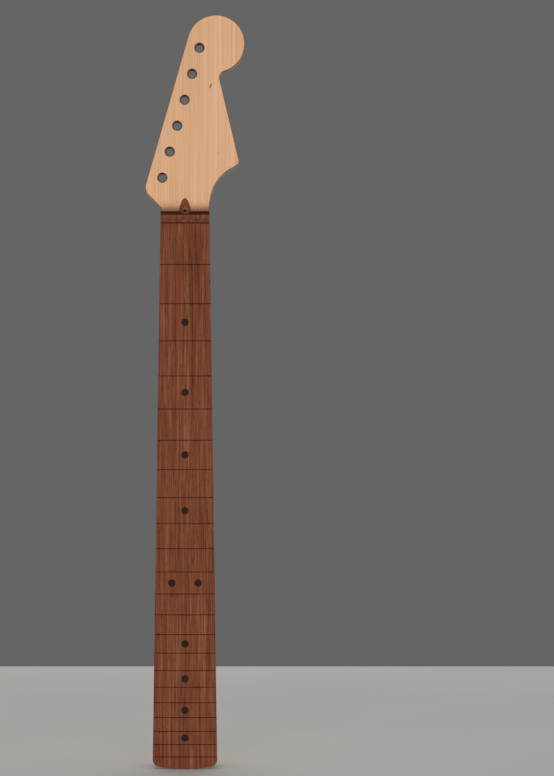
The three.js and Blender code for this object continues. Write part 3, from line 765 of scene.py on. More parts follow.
# %% Cutters for the tuner holes
TUNERS = 6
TUNER_HOLE_RADIUS = 4.365
TUNER_HOLE_WAIST = 1.05
TUNER_WAIST_SHARES = (0.6, 0.4)
TUNER_HOLE_CHAMFER = 0.12
TUNER_FROM_EDGE = 12.65
LOWEST_TUNER_ABOVE_CORNER = 11.5
HIGHEST_TUNER_BELOW_TIP_CENTRE = 3.6


def tuner_cutters():
    """Bored from both faces, so that they are a little narrower in the middle."""
    lowest = tuner_edge_point(NUT_Z + BASS_CORNER_HEIGHT + LOWEST_TUNER_ABOVE_CORNER)
    highest = tuner_edge_point(TIP_Z - HIGHEST_TUNER_BELOW_TIP_CENTRE)
    inward = TUNER_FROM_EDGE / math.cos(TUNER_EDGE_ANGLE)
    wide, waist = TUNER_HOLE_RADIUS + OVERRUN, TUNER_HOLE_RADIUS - TUNER_HOLE_WAIST
    profile = [
        (HEAD_FACE_Y + TUNER_HOLE_CHAMFER - OVERRUN, wide),
        (HEAD_FACE_Y + TUNER_HOLE_CHAMFER, TUNER_HOLE_RADIUS),
        *((HEAD_FACE_Y * share, waist) for share in TUNER_WAIST_SHARES),
        (-TUNER_HOLE_CHAMFER, TUNER_HOLE_RADIUS),
        (-TUNER_HOLE_CHAMFER + OVERRUN, wide),
    ]
    cutters = []
    for i in range(TUNERS):
        share = i / (TUNERS - 1)
        x = lowest[0] + (highest[0] - lowest[0]) * share + inward
        z = lowest[1] + (highest[1] - lowest[1]) * share
        cutters.append(turned(f"tuner_cutter_{i + 1}", (x, 0, z), (0, 1, 0), profile))
    return cutters


# %% Cutters for the screw holes
SCREW_SPACING_ACROSS = 38.1
SCREW_SPACING_ALONG = 50.8
SCREW_HOLE_RADIUS = 1.6
SCREW_HOLE_DEPTH = 16
SCREW_HOLE_TIP_RADIUS = 0.05
SCREW_HOLE_CHAMFER = 0.12
CHAMFER_OVERRUN = 0.5


def screw_cutters():
    profile = [
        (-SCREW_HOLE_DEPTH, SCREW_HOLE_TIP_RADIUS),
        (-SCREW_HOLE_DEPTH + SCREW_HOLE_RADIUS, SCREW_HOLE_RADIUS),
        (-SCREW_HOLE_CHAMFER, SCREW_HOLE_RADIUS),
        (CHAMFER_OVERRUN, SCREW_HOLE_RADIUS + SCREW_HOLE_CHAMFER + CHAMFER_OVERRUN),
    ]
    return [
        turned(f"screw_cutter_{x}_{z}", (x, 0, z), (0, 1, 0), profile, sides=32)
        for x in (-SCREW_SPACING_ACROSS / 2, SCREW_SPACING_ACROSS / 2)
        for z in (-SCREW_SPACING_ALONG / 2, SCREW_SPACING_ALONG / 2)
    ]


# %% [markdown]
# ## Finishes
#
# A material starts from the real stuff: what it is called, and how its surface was made. All
# colours are the hex values a painter would mix, turned into Blender's linear light by one
# function. One helper adds a node with its settings and links.

# %% Helpers for materials
def linear(hex_colour):
    """An sRGB hex colour as linear light."""
    values = []
    for i in (0, 2, 4):
        c = int(hex_colour.lstrip("#")[i : i + 2], 16) / 255
        values.append(c / 12.92 if c <= 0.04045 else ((c + 0.055) / 1.055) ** 2.4)
    return (*values, 1)


def new_material(name):
    material = bpy.data.materials.new(name)
    material.use_nodes = True
    material.node_tree.nodes.clear()
    return material


def add_node(material, kind, settings=None, inputs=None, stops=()):
    """One node. An input is a value or another node's output, and stops fill a colour ramp."""
    node = material.node_tree.nodes.new(kind)
    for name, value in (settings or {}).items():
        setattr(node, name, value)
    for name, value in (inputs or {}).items():
        if isinstance(value, bpy.types.NodeSocket):
            material.node_tree.links.new(value, node.inputs[name])
        else:
            node.inputs[name].default_value = value
    for i, (place, colour) in enumerate(stops):
        elements = node.color_ramp.elements
        element = elements[i] if i < 2 else elements.new(place)
        element.position = place
        element.color = linear(colour)
    return node


# The sockets that a Mix node uses for colours.
MIX_FACTOR, MIX_A, MIX_B, MIX_COLOUR = 0, 6, 7, 2
RGBA = {"data_type": "RGBA"}


def finish_material(material, colour, roughness, relief=None, metallic=0.0, specular=0.5):
    """The shader that every finish ends in. A relief is a height, its strength and its mm."""
    inputs = {"Base Color": colour, "Roughness": roughness, "Metallic": metallic}
    inputs["Specular IOR Level"] = specular
    if relief:
        height, strength, deep = relief
        inputs["Normal"] = add_node(
            material, "ShaderNodeBump",
            inputs={"Height": height, "Strength": strength, "Distance": deep * MM},
        ).outputs[0]
    shader = add_node(material, "ShaderNodeBsdfPrincipled", inputs=inputs)
    add_node(material, "ShaderNodeOutputMaterial", inputs={"Surface": shader.outputs[0]})
    print(f"{material.name}: {len(material.node_tree.nodes)} nodes")
    return material


# %% [markdown]
# ## Grain
#
# Wood is a bundle of long fibres, so its pattern is noise that is drawn out along the neck: a
# millimetre or so wide and many centimetres long. Several such layers, broad ones for the growth
# rings and fine ones for the fibres, make it look like wood. A saw cut across the bundle shows
# the open ends of the fibres, which drink light and look darker. So every wood here has a second
# colour where its surface faces up or down the neck, and that colour also paints shade there.

# %% Grain helpers
def log_place(material, drift, over):
    """Where a point lies in the log. The rings drift sideways a little on their way up, in mm."""
    place = add_node(material, "ShaderNodeTexCoord").outputs["Object"]
    slow = add_node(
        material, "ShaderNodeTexNoise",
        inputs={"Vector": place, "Scale": 1 / (over * MM), "Detail": 1},
    )
    sideways = (drift * MM, drift * MM, 0)
    return add_node(
        material, "ShaderNodeVectorMath", {"operation": "MULTIPLY_ADD"},
        {0: slow.outputs["Color"], 1: sideways, 2: place},
    ).outputs[0]


def streaks(material, place, across, along, seed, detail=2.0):
    """Noise whose streaks are this wide and long, in mm."""
    size = (1 / (across * MM), 1 / (across * MM), 1 / (along * MM))
    drawn = add_node(
        material, "ShaderNodeMapping",
        inputs={"Vector": place, "Location": (seed, 2 * seed, 3 * seed), "Scale": size},
    )
    noise = add_node(
        material, "ShaderNodeTexNoise",
        inputs={"Vector": drawn.outputs[0], "Scale": 1, "Detail": detail},
    )
    return noise.outputs["Fac"]


def patches(material, place, across, along, seed, detail, starts, full):
    """Streaks that are there or not: 1 where the noise is above its limits."""
    noise = streaks(material, place, across, along, seed, detail)
    return add_node(
        material, "ShaderNodeMapRange",
        inputs={"Value": noise, "From Min": starts, "From Max": full},
    ).outputs[0]


def weighed(material, layers):
    """The sum of several layers, each with its weight."""
    total = 0.0
    for layer, weight in layers:
        total = add_node(
            material, "ShaderNodeMath", {"operation": "MULTIPLY_ADD"},
            {0: layer, 1: weight, 2: total},
        ).outputs[0]
    return total


def part_of(material, what, axis):
    """One part of "Object", the place in metres, or of "Normal", the way a surface faces."""
    whole = add_node(material, "ShaderNodeTexCoord").outputs[what]
    return add_node(material, "ShaderNodeSeparateXYZ", inputs={0: whole}).outputs[axis]


# %% Where a shade lies
def end_grain_and_painted_shade(material, starts=0.35, full=0.8):
    """1 where the surface faces along the neck: it shows fibre ends there and carries painted
    shade.
    """
    z = part_of(material, "Normal", "Z")
    size = add_node(material, "ShaderNodeMath", {"operation": "ABSOLUTE"}, {0: z}).outputs[0]
    return add_node(
        material, "ShaderNodeMapRange",
        inputs={"Value": size, "From Min": starts, "From Max": full},
    ).outputs[0]


def mark(material, at, size, lean=0.0, soft=0.5):
    """1 inside a small oval at a place in mm, fading out at its edge."""
    place = add_node(material, "ShaderNodeTexCoord").outputs["Object"]
    inside = add_node(
        material, "ShaderNodeMapping", {"vector_type": "TEXTURE"},
        {
            "Vector": place,
            "Location": [c * MM for c in at],
            "Rotation": (0, lean, 0),
            "Scale": [c * MM for c in size],
        },
    )
    distance = add_node(
        material, "ShaderNodeVectorMath", {"operation": "LENGTH"}, {0: inside.outputs[0]}
    )
    return add_node(
        material, "ShaderNodeMapRange",
        inputs={"Value": distance.outputs["Value"], "From Min": 1, "From Max": 1 - soft},
    ).outputs[0]


def darker(material, colour, factor, shade, strength=1.0):
    """Lays a shade, a hex colour or a node's output, over a colour where the factor says so."""
    shade = linear(shade) if isinstance(shade, str) else shade
    amount = add_node(
        material, "ShaderNodeMath", {"operation": "MULTIPLY"}, {0: factor, 1: strength}
    ).outputs[0]
    return add_node(
        material, "ShaderNodeMix", RGBA, {MIX_FACTOR: amount, MIX_A: colour, MIX_B: shade}
    ).outputs[MIX_COLOUR]


def height_band(material, z, inner, outer):
    """1 within a distance from a height in mm, fading out further off."""
    height = part_of(material, "Object", "Z")
    moved = add_node(
        material, "ShaderNodeMath", {"operation": "SUBTRACT"}, {0: height, 1: z * MM}
    ).outputs[0]
    distance = add_node(material, "ShaderNodeMath", {"operation": "ABSOLUTE"}, {0: moved})
    return add_node(
        material, "ShaderNodeMapRange",
        inputs={"Value": distance.outputs[0], "From Min": outer * MM, "From Max": inner * MM},
    ).outputs[0]


def facing_back(material, starts, full):
    """1 where the surface faces the back of the neck. With starts above full it is 0 there."""
    y = part_of(material, "Normal", "Y")
    return add_node(
        material, "ShaderNodeMapRange",
        inputs={"Value": y, "From Min": starts, "From Max": full},
    ).outputs[0]


def not_behind(material):
    """1 on the front and the sides, fading to 0 towards the back."""
    return facing_back(material, starts=0.45, full=0.15)


def up_the_neck(material, low_z, high_z, at_low, at_high):
    """A value that changes between two heights in mm."""
    height = part_of(material, "Object", "Z")
    return add_node(
        material, "ShaderNodeMapRange",
        inputs={
            "Value": height, "From Min": low_z * MM, "From Max": high_z * MM,
            "To Min": at_low, "To Max": at_high,
        },
    ).outputs[0]


def painted_headstock_edge_shade(material):
    """1 on the headstock's edges, and the painted shade there: darkest where the edge is rounded.
    """
    y = part_of(material, "Normal", "Y")
    flatness = add_node(material, "ShaderNodeMath", {"operation": "ABSOLUTE"}, {0: y}).outputs[0]
    edge = add_node(
        material, "ShaderNodeMapRange",
        inputs={"Value": flatness, "From Min": 0.97, "From Max": 0.7},
    ).outputs[0]
    edge = up_the_neck(material, NUT_Z + 7, NUT_Z + 12, 0, edge)
    shade = add_node(
        material, "ShaderNodeValToRGB", inputs={"Fac": flatness},
        stops=[(0.1, "#a87a52"), (0.3, "#5f3e24"), (0.82, "#6b482a"), (0.97, "#c79a70")],
    ).outputs["Color"]
    edge = add_node(
        material, "ShaderNodeMath", {"operation": "MULTIPLY"}, {0: edge, 1: not_behind(material)}
    ).outputs[0]
    return edge, darker(material, shade, end_grain_and_painted_shade(material, 0.25, 0.6), "#5c3d24")


# %% [markdown]
# ## Bare maple
#
# The neck is hard maple, planed and then sanded to a fine grit, with no lacquer yet. So it is
# pale, close-grained and nearly matt. Its rings run straight up the neck as faint lines.

# %% Marks in the maple, each with its place, size and lean
# Small brown flecks on the headstock's face.
FLECKS = [
    ((22.2, HEAD_FACE_Y, 546.4), (0.75, 3, 2.0), math.radians(12)),
    ((23.0, HEAD_FACE_Y, 548.3), (0.45, 3, 1.3), math.radians(20)),
    ((-7.3, HEAD_FACE_Y, 445.2), (0.45, 2, 0.8), 0.3),
    ((29.5, HEAD_FACE_Y, 488.6), (0.4, 2, 0.6), 0.2),
]
# Faint mineral streaks, two in the back and one in the face.
MINERAL_STREAKS = [
    ((28.5, 0, 500), (1.1, 5, 42), math.radians(-1)),
    ((6.6, 0, 520), (0.7, 5, 60), 0),
    ((38.3, HEAD_FACE_Y, 499.8), (0.8, 4, 1.0), 0),
]


# %% Hard maple, sanded and unfinished
def make_bare_maple():
    material = new_material("bare_maple")
    place = log_place(material, drift=3, over=150)
    rings = streaks(material, place, 9, 200, seed=3, detail=1)
    # The finest lines are about 0.4 mm apart in the wood, and drawn 0.9 mm apart to show.
    lines = streaks(material, place, 0.75, 120, seed=8, detail=0)
    fibres = streaks(material, place, 0.5, 7, seed=5, detail=2)
    tone = weighed(material, [(rings, 0.2), (lines, 0.6), (fibres, 0.2)])
    colour = add_node(
        material, "ShaderNodeValToRGB", inputs={"Fac": tone},
        stops=[(0.36, "#dba880"), (0.46, "#e1b089"), (0.54, "#e5b58e"), (0.64, "#eabc96")],
    ).outputs["Color"]
    painted_back_light = add_node(
        material, "ShaderNodeValToRGB", inputs={"Fac": tone},
        stops=[(0.34, "#efc39b"), (0.46, "#f8d0aa"), (0.54, "#fbd5b1"), (0.66, "#fee0c2")],
    ).outputs["Color"]
    # Some rings hold more mineral and look tan or pink.
    tan = patches(material, place, 8, 800, seed=21, detail=0, starts=0.55, full=0.7)
    colour = darker(material, colour, tan, "#dcaa78", 0.35)
    # Where the surface turns across the grain, the fibres run out and it looks darker; this layer
    # is also painted shade on the cove and scoops, strongest on the front and sides.
    run_out_and_painted_shade = end_grain_and_painted_shade(material, starts=0.08, full=1)
    strength = add_node(
        material, "ShaderNodeMapRange",
        inputs={"Value": not_behind(material), "To Min": 0.12, "To Max": 0.6},
    ).outputs[0]
    colour = darker(material, colour, run_out_and_painted_shade, "#8a510f", strength)
    # Painted light makes the back paler than the face, and the more so the lower down.
    back = facing_back(material, starts=0.35, full=0.95)
    strength = up_the_neck(material, 120, NUT_Z, 0.9, 0.55)
    colour = darker(material, colour, back, painted_back_light, strength)
    # End grain looks darker where the surface faces up or down the neck, and this layer also paints
    # shade there.
    ends = end_grain_and_painted_shade(material, starts=0.85, full=1)
    colour = darker(material, colour, ends, "#a0704c", 0.5)
    # Painted shade darkens the headstock's rounded edges and its walls that face up or down.
    edge, edge_painted_shade = painted_headstock_edge_shade(material)
    colour = darker(material, colour, edge, edge_painted_shade, 0.85)
    for at, size, lean in FLECKS:
        colour = darker(material, colour, mark(material, at, size, lean), "#4a2c14", 0.95)
    for at, size, lean in MINERAL_STREAKS:
        colour = darker(material, colour, mark(material, at, size, lean), "#c08a58", 0.45)
    return finish_material(material, colour, 0.75, (tone, 0.25, 0.15), specular=0.1)


bare_maple = make_bare_maple()

# %% [markdown]
# ## Walls of holes and slots
#
# A drill, a router or a saw leaves a fuzzy wall that is duller than the wood around it. Its colour
# is painted shade: a hole's inside is painted browner than the wood, and a narrow slot nearly
# black, for the light that they shut out. One recipe with its own pair of colours serves each kind
# of cut.


# %% Painted shade on wood that was bored, routed or sawn
def make_shaded_bore_wall(name, dark, pale):
    material = new_material(name)
    place = log_place(material, drift=0, over=100)
    fuzz = streaks(material, place, 0.6, 2.5, seed=13, detail=3)
    colour = add_node(
        material, "ShaderNodeValToRGB", inputs={"Fac": fuzz},
        stops=[(0.35, dark), (0.65, pale)],
    ).outputs["Color"]
    return finish_material(material, colour, 0.8, (fuzz, 0.4, 0.2), specular=0.05)


# Painted shade: the walls of bores, deep holes and saw slots are darker for the light they shut
# out.
drilled_maple_shade = make_shaded_bore_wall("drilled_maple_shade", "#4c3020", "#6d4930")
drilled_walnut_shade = make_shaded_bore_wall("drilled_walnut_shade", "#26150c", "#382013")
shaded_deep_hole = make_shaded_bore_wall("deep_hole_painted_shade", "#140c08", "#1f130c")
sawn_slot_shade = make_shaded_bore_wall("sawn_slot_shade", "#260902", "#380f03")

# %% [markdown]
# ## The fretboard's wood
#
# A dark, open-pored tropical wood of the rosewood kind. Its streaks run from chocolate to brick
# red, and its pores are open grooves that look like short dark dashes along the grain. It is only
# sanded, so it is dull. Its cut ends are painted almost black, for dark end grain and as painted
# shade.

# %% Rosewood-like wood, radiused and sanded
def make_fretboard_wood():
    material = new_material("fretboard_wood")
    place = log_place(material, drift=2, over=120)
    broad = streaks(material, place, 5, 300, seed=4, detail=1)
    middle = streaks(material, place, 1.6, 110, seed=9, detail=2)
    fine = streaks(material, place, 0.7, 30, seed=14, detail=2)
    tone = weighed(material, [(broad, 0.2), (middle, 0.35), (fine, 0.45)])
    colour = add_node(
        material, "ShaderNodeValToRGB", inputs={"Fac": tone},
        stops=[
            (0.36, "#532a19"), (0.44, "#683722"), (0.5, "#75412a"), (0.56, "#824b32"),
            (0.64, "#945d43"),
        ],
    ).outputs["Color"]
    red = patches(material, place, 4, 200, seed=31, detail=1, starts=0.52, full=0.66)
    colour = darker(material, colour, red, "#82402f", 0.4)
    # Real pores are 0.1 to 0.2 mm wide. These are 0.4 mm, so that they show.
    pores = patches(material, place, 0.4, 7, seed=17, detail=1, starts=0.62, full=0.7)
    colour = darker(material, colour, pores, "#3b1d12", 0.7)
    # End grain is dark, and this almost black colour on the cut ends is also painted shade.
    colour = darker(material, colour, end_grain_and_painted_shade(material), "#3a1602", 0.97)
    # The underside, which shows past the heel, is darker.
    colour = darker(material, colour, facing_back(material, 0.3, 0.7), "#3d1d15", 0.85)
    # Painted shadow: the board is darker along the slot's lower edge, where the slot's wall shades
    # it.
    edge = height_band(material, NUT_Z - 0.15, 0.5, 1.1)
    colour = darker(material, colour, edge, "#4a2416", 0.9)
    height = weighed(material, [(tone, 0.5), (pores, -1.0)])
    return finish_material(material, colour, 0.7, (height, 0.35, 0.12), specular=0.1)


fretboard_wood = make_fretboard_wood()

# %% [markdown]
# ## Walnut
#
# The strip over the truss rod and the plug at the headstock are black walnut, glued in and sanded
# flush. The strip is a plain mid brown, and light pores dash it along the grain. The plug comes
# from darker wood. It is redder and paler towards the tip, and a painted highlight lightens its
# middle.

# %% Black walnut, sanded flush
def walnut(name, stops, seed):
    """A walnut's material with its colour and its grain, for a finish to be put on."""
    material = new_material(name)
    place = log_place(material, drift=1.5, over=90)
    broad = streaks(material, place, 3, 120, seed=seed, detail=1)
    fine = streaks(material, place, 0.7, 24, seed=seed + 5, detail=2)
    tone = weighed(material, [(broad, 0.5), (fine, 0.5)])
    colour = add_node(
        material, "ShaderNodeValToRGB", inputs={"Fac": tone}, stops=stops
    ).outputs["Color"]
    pores = patches(material, place, 0.35, 5, seed + 9, detail=1, starts=0.62, full=0.7)
    return material, darker(material, colour, pores, "#4a2b18", 0.6), tone


def make_strip_walnut():
    stops = [(0.38, "#7a4923"), (0.5, "#985f36"), (0.62, "#ab7048")]
    material, colour, tone = walnut("strip_walnut", stops, 12)
    return finish_material(material, colour, 0.6, (tone, 0.3, 0.1), specular=0.12)


def make_plug_walnut():
    stops = [(0.38, "#462413"), (0.5, "#522c19"), (0.62, "#603521")]
    material, colour, tone = walnut("plug_walnut", stops, 40)
    # The upper end is redder and paler.
    tip = height_band(material, BOARD_TOP_Z + 13, 3, 8.5)
    colour = darker(material, colour, tip, "#7f4728", 0.85)
    # A painted highlight lightens the middle.
    middle = mark(material, (0.2, -21, BOARD_TOP_Z + 4.6), (2.8, 30, 4.4), soft=0.9)
    colour = darker(material, colour, middle, "#9c7062", 0.85)
    return finish_material(material, colour, 0.6, (tone, 0.3, 0.1), specular=0.15)


strip_walnut = make_strip_walnut()
plug_walnut = make_plug_walnut()

# %% [markdown]
# ## Plastic and steel
#
# The dots are cut from black plastic rod and sanded flush with the wood, so they are a very dark
# grey rather than black. The truss rod and its nut are plain turned steel. The anchor's end has
# been oiled and has gone dull, and a painted shadow darkens its rim where it meets the wood.

# %% Black plastic, sanded flush
def make_black_inlay():
    material = new_material("black_inlay")
    place = log_place(material, drift=0, over=100)
    dust = streaks(material, place, 0.5, 0.5, seed=6, detail=3)
    colour = add_node(
        material, "ShaderNodeValToRGB", inputs={"Fac": dust},
        stops=[(0.4, "#231712"), (0.65, "#31221b")],
    ).outputs["Color"]
    rough = add_node(
        material, "ShaderNodeMapRange",
        inputs={"Value": dust, "From Min": 0.3, "From Max": 0.7, "To Min": 0.5, "To Max": 0.65},
    ).outputs[0]
    return finish_material(material, colour, rough, specular=0.06)


black_inlay = make_black_inlay()

# %% Steel, turned and oiled
def make_steel(name, bright, dull, roughness, seed, face=None):
    material = new_material(name)
    place = log_place(material, drift=0, over=100)
    stain = streaks(material, place, 2.2, 2.2, seed=seed, detail=4)
    colour = add_node(
        material, "ShaderNodeValToRGB", inputs={"Fac": stain},
        stops=[(0.4, dull), (0.6, bright)],
    ).outputs["Color"]
    if face:
        # Painted shadow: the rim of a face that is let into wood is darker, where the bore's edge
        # shades it.
        rim_painted_shadow = mark(material, *face, soft=0.3)
        colour = darker(material, linear("#2f2116"), rim_painted_shadow, colour)
    rough = add_node(
        material, "ShaderNodeMapRange",
        inputs={
            "Value": stain, "From Min": 0.35, "From Max": 0.65,
            "To Min": roughness + 0.1, "To Max": roughness - 0.05,
        },
    ).outputs[0]
    return finish_material(material, colour, rough, metallic=1.0)


turned_steel = make_steel("turned_steel", "#b5b2ad", "#8f8b85", 0.3, 2)
# The anchor's end gets a painted shadow round its rim.
# The mark is so long in y that only its round outline counts.
ANCHOR_FACE = ((0, 0, ANCHOR_Z), (ANCHOR_RADIUS, 90, ANCHOR_RADIUS))
oiled_steel = make_steel("oiled_steel", "#8b7f6a", "#6b5e4a", 0.5, 7, ANCHOR_FACE)

# %% [markdown]
# ## Cutting the neck
#
# The real blank goes from machine to machine: a router takes out the rod's channel, a drill the
# tuner holes, the screw holes and the nut's chamber. Here too every cut is a tool that is taken
# away from the wood, and each tool carries the painted shade of the wall that it leaves. The plug's
# hole is slanted, so where it breaks through the curved face it draws the plug's long oval by
# itself.

# %% The maple neck, cut
def make_maple():
    piece = maple_outside.copy()
    piece.data = maple_outside.data.copy()
    piece.name = "maple_neck_wood"
    piece.data.materials.append(bare_maple)
    bpy.context.scene.collection.objects.link(piece)
    holes = [anchor_cutter(), adjuster_cutter(), *tuner_cutters()]
    plug_hole = plug_blank("plug_hole", PLUG_BOTTOM - GLUE, GLUE)
    carve(piece, joined("maple_slot", [channel_cutter()], drilled_maple_shade))
    carve(piece, joined("maple_holes", holes, drilled_maple_shade))
    carve(piece, joined("maple_screw_holes", screw_cutters(), shaded_deep_hole))
    carve(piece, joined("maple_plug_hole", [plug_hole], drilled_maple_shade))
    finish_piece(piece, "maple_neck")


make_maple()

# %% [markdown]
# ## The strip in the back
#
# A strip of walnut closes the channel over the rod. On the real neck it is glued in too high and
# then shaped with the neck, so it has the neck's own back. That is also the easiest way to draw
# it: a tall blank, cut down to the shape of the maple before its channel was cut.

# %% The walnut strip
def make_strip():
    piece = strip_blank()
    carve(piece, maple_outside, "INTERSECT", keep_tool=True)
    carve(piece, anchor_cutter())
    finish_piece(piece, "skunk_stripe", strip_walnut)


make_strip()
bpy.data.objects.remove(maple_outside)

# %% [markdown]
# ## The fretboard
#
# The board is a flat slab with a round top. The crown is flatter at the heel than at the nut, so
# it is part of a cone, and slices with a changing radius draw that exactly. There are no frets in
# it yet. Their slots, the nut's slot and the holes for the dots are cut as the real ones are.

# %% The fretboard's shape
CROWN_RADIUS_AT_NUT = 254
CROWN_RADIUS_AT_END = 406.4
BOARD_EDGE_RADIUS = 0.3
BOARD_BOW_DEPTH = 9
BOARD_TOP_INSET = 0.05
BOARD_STEPS = [
    (BOARD_END_Z, 0.1),
    (BOARD_END_Z + 1.2, 0.4),
    (BOARD_END_Z + 8, 6),
    (BOARD_TOP_Z, 0.2),
    (board_high.z - BOARD_TOP_INSET, 1),
]
NUT_HALF_WIDTH = half_width(NUT_Z)
BOARD_EDGE = np.array(
    bowed_end(BOARD_END_Z) + [(NUT_HALF_WIDTH, NUT_Z), (NUT_HALF_WIDTH, HEAD_TOP_Z)]
)


def crown_height(x, z):
    share = np.clip((z - BOARD_END_Z) / (BOARD_TOP_Z - BOARD_END_Z), 0, 1)
    radius = CROWN_RADIUS_AT_END + (CROWN_RADIUS_AT_NUT - CROWN_RADIUS_AT_END) * share
    return CROWN_Y + radius - np.sqrt(radius**2 - x**2)


def board_edge(z):
    return float(np.interp(z, BOARD_EDGE[:, 1], BOARD_EDGE[:, 0]))


def board_slice(z):
    edge = board_edge(z)
    treble = columns_to_middle(edge, 0)
    x = np.concatenate([-treble[:-1], treble[::-1]])
    distance = edge - np.abs(x)
    if z < BOARD_END_Z + BOARD_BOW_DEPTH:
        distance = distance_to(BOARD_EDGE, np.abs(x), z)
    top = crown_height(x, z)
    if z > BOARD_TOP_Z:
        top = np.maximum(top, face_curve(z))
    top = np.minimum(top + sanded(distance, BOARD_EDGE_RADIUS), GLUE_Y - GLUE - THINNEST)
    bottom = np.full_like(x, GLUE_Y - GLUE / 2)
    ring = [(a, b, z) for a, b in zip(x, top)]
    return ring + [(a, b, z) for a, b in zip(x[::-1], bottom)]


# %% Saw cuts across the board
KERF_STARTS_ABOVE_FLOOR = 0.4
KERF_SHARE_BELOW_NUT_LINE = 0.3


def saw_cut(name, y_from, y_to, z_from, z_to):
    reach = WIDTH_AT_END / 2 + OVERRUN
    return block(name, (-reach, y_from, z_from), (reach, y_to, z_to))


def nut_slot_cutter():
    floor_y, top_z = CROWN_Y + NUT_SLOT_DEPTH, NUT_Z + NUT_SLOT_WIDTH
    return saw_cut("nut_slot_cutter", CROWN_Y - OVERRUN, floor_y, NUT_Z, top_z)


def kerf_cutter():
    """The saw cut that sets the slot's lower edge, a little deeper than its floor."""
    floor_y, low_z = CROWN_Y + NUT_SLOT_DEPTH, NUT_Z - NUT_KERF_WIDTH * KERF_SHARE_BELOW_NUT_LINE
    y_from, y_to = floor_y - KERF_STARTS_ABOVE_FLOOR, floor_y + NUT_KERF_DEEPER
    return saw_cut("nut_kerf_cutter", y_from, y_to, low_z, low_z + NUT_KERF_WIDTH)


def fret_slot_cutters():
    cutters = []
    for fret in range(1, FRETS + 1):
        low_z = NUT_Z - fret_distance(fret) - FRET_SLOT_WIDTH / 2
        y_from, y_to = CROWN_Y - OVERRUN, CROWN_Y + FRET_SLOT_DEPTH
        name = f"fret_slot_cutter_{fret}"
        cutters.append(saw_cut(name, y_from, y_to, low_z, low_z + FRET_SLOT_WIDTH))
    return cutters


# %% [markdown]
# ## The dots
#
# Dots tell the player where the hand is: one at most of the marked frets, two at the octave. They
# are turned from plastic rod and let into round holes. A disc laid on a round board would stand up
# at its sides, so each dot's end is a fan of points that are laid on the wood's own surface.

# %% Where the dots are
SINGLE_DOTS = (3, 5, 7, 9, 15, 17, 19, 21)
DOUBLE_DOT = 12
FACE_DOT_RADIUS = 3.175
FACE_DOT_THICKNESS = 1.6
FACE_DOT_SPACING = 22.9
SIDE_DOT_RADIUS = 1.15
SIDE_DOT_LENGTH = 2.8
SIDE_DOT_Y = CROWN_Y + 3.5
SIDE_DOT_SPACING = 8


def dot_z(fret):
    return NUT_Z - (fret_distance(fret - 1) + fret_distance(fret)) / 2


def face_dots():
    dots = [(f"face_dot_{fret}", 0, dot_z(fret)) for fret in SINGLE_DOTS]
    for side, x in (("bass", -FACE_DOT_SPACING / 2), ("treble", FACE_DOT_SPACING / 2)):
        dots.append((f"face_dot_{DOUBLE_DOT}_{side}", x, dot_z(DOUBLE_DOT)))
    return dots


def side_dots():
    dots = [(f"side_dot_{fret}", dot_z(fret)) for fret in SINGLE_DOTS]
    for name, step in (("upper", SIDE_DOT_SPACING / 2), ("lower", -SIDE_DOT_SPACING / 2)):
        dots.append((f"side_dot_{DOUBLE_DOT}_{name}", dot_z(DOUBLE_DOT) + step))
    return dots


def dot_cutters():
    cutters = []
    for name, x, z in face_dots():
        profile = [(CROWN_Y - OVERRUN, FACE_DOT_RADIUS + GLUE)]
        profile.append((CROWN_Y + FACE_DOT_THICKNESS + GLUE, FACE_DOT_RADIUS + GLUE))
        cutters.append(turned(f"{name}_cutter", (x, 0, z), (0, 1, 0), profile))
    for name, z in side_dots():
        edge = -board_edge(z)
        profile = [(edge - OVERRUN, SIDE_DOT_RADIUS + GLUE)]
        profile.append((edge + SIDE_DOT_LENGTH + GLUE, SIDE_DOT_RADIUS + GLUE))
        cutters.append(turned(f"{name}_cutter", (0, SIDE_DOT_Y, z), (1, 0, 0), profile, sides=32))
    return cutters


# %% Cut the fretboard
def make_board():
    rings = [board_slice(z) for z in slice_places(BOARD_STEPS)]
    piece = loft("fretboard_wood", rings, narrow_caps(rings))
    piece.data.materials.append(fretboard_wood)
    cuts = [nut_slot_cutter(), *dot_cutters(), adjuster_cutter()]
    plug_hole = plug_blank("plug_hole", PLUG_BOTTOM - GLUE, GLUE)
    carve(piece, joined("board_cuts", cuts, fretboard_wood))
    carve(piece, joined("board_fret_slots", fret_slot_cutters(), sawn_slot_shade))
    carve(piece, joined("board_plug_hole", [plug_hole], fretboard_wood))
    carve(piece, joined("board_nut_kerf", [kerf_cutter()], fretboard_wood))
    finish_piece(piece, "fretboard")


make_board()

# %% An inlay that ends flush with the wood
INLAY_RINGS = (0.35, 0.7, 0.95, 1)


def inlay(name, surface, deep, radius, sides):
    """Rings of points laid on the wood's surface, and a plain end inside the wood."""
    points = [surface(0, 0)]
    for share in INLAY_RINGS:
        for i in range(sides):
            angle, reach = 2 * math.pi * i / sides, radius * share
            points.append(surface(reach * math.cos(angle), reach * math.sin(angle)))
    last = points[-sides:]
    points += [np.array(p) + np.array(deep) for p in last]
    faces = [(0, 1 + i, 1 + (i + 1) % sides) for i in range(sides)]
    for ring in range(len(INLAY_RINGS)):
        low = 1 + ring * sides
        for i in range(sides):
            j = (i + 1) % sides
            faces.append((low + i, low + sides + i, low + sides + j, low + j))
    end = len(points) - sides
    faces.append(tuple(end + i for i in range(sides)))
    return new_piece(name, points, faces)


DOT_SUNK = 0.02


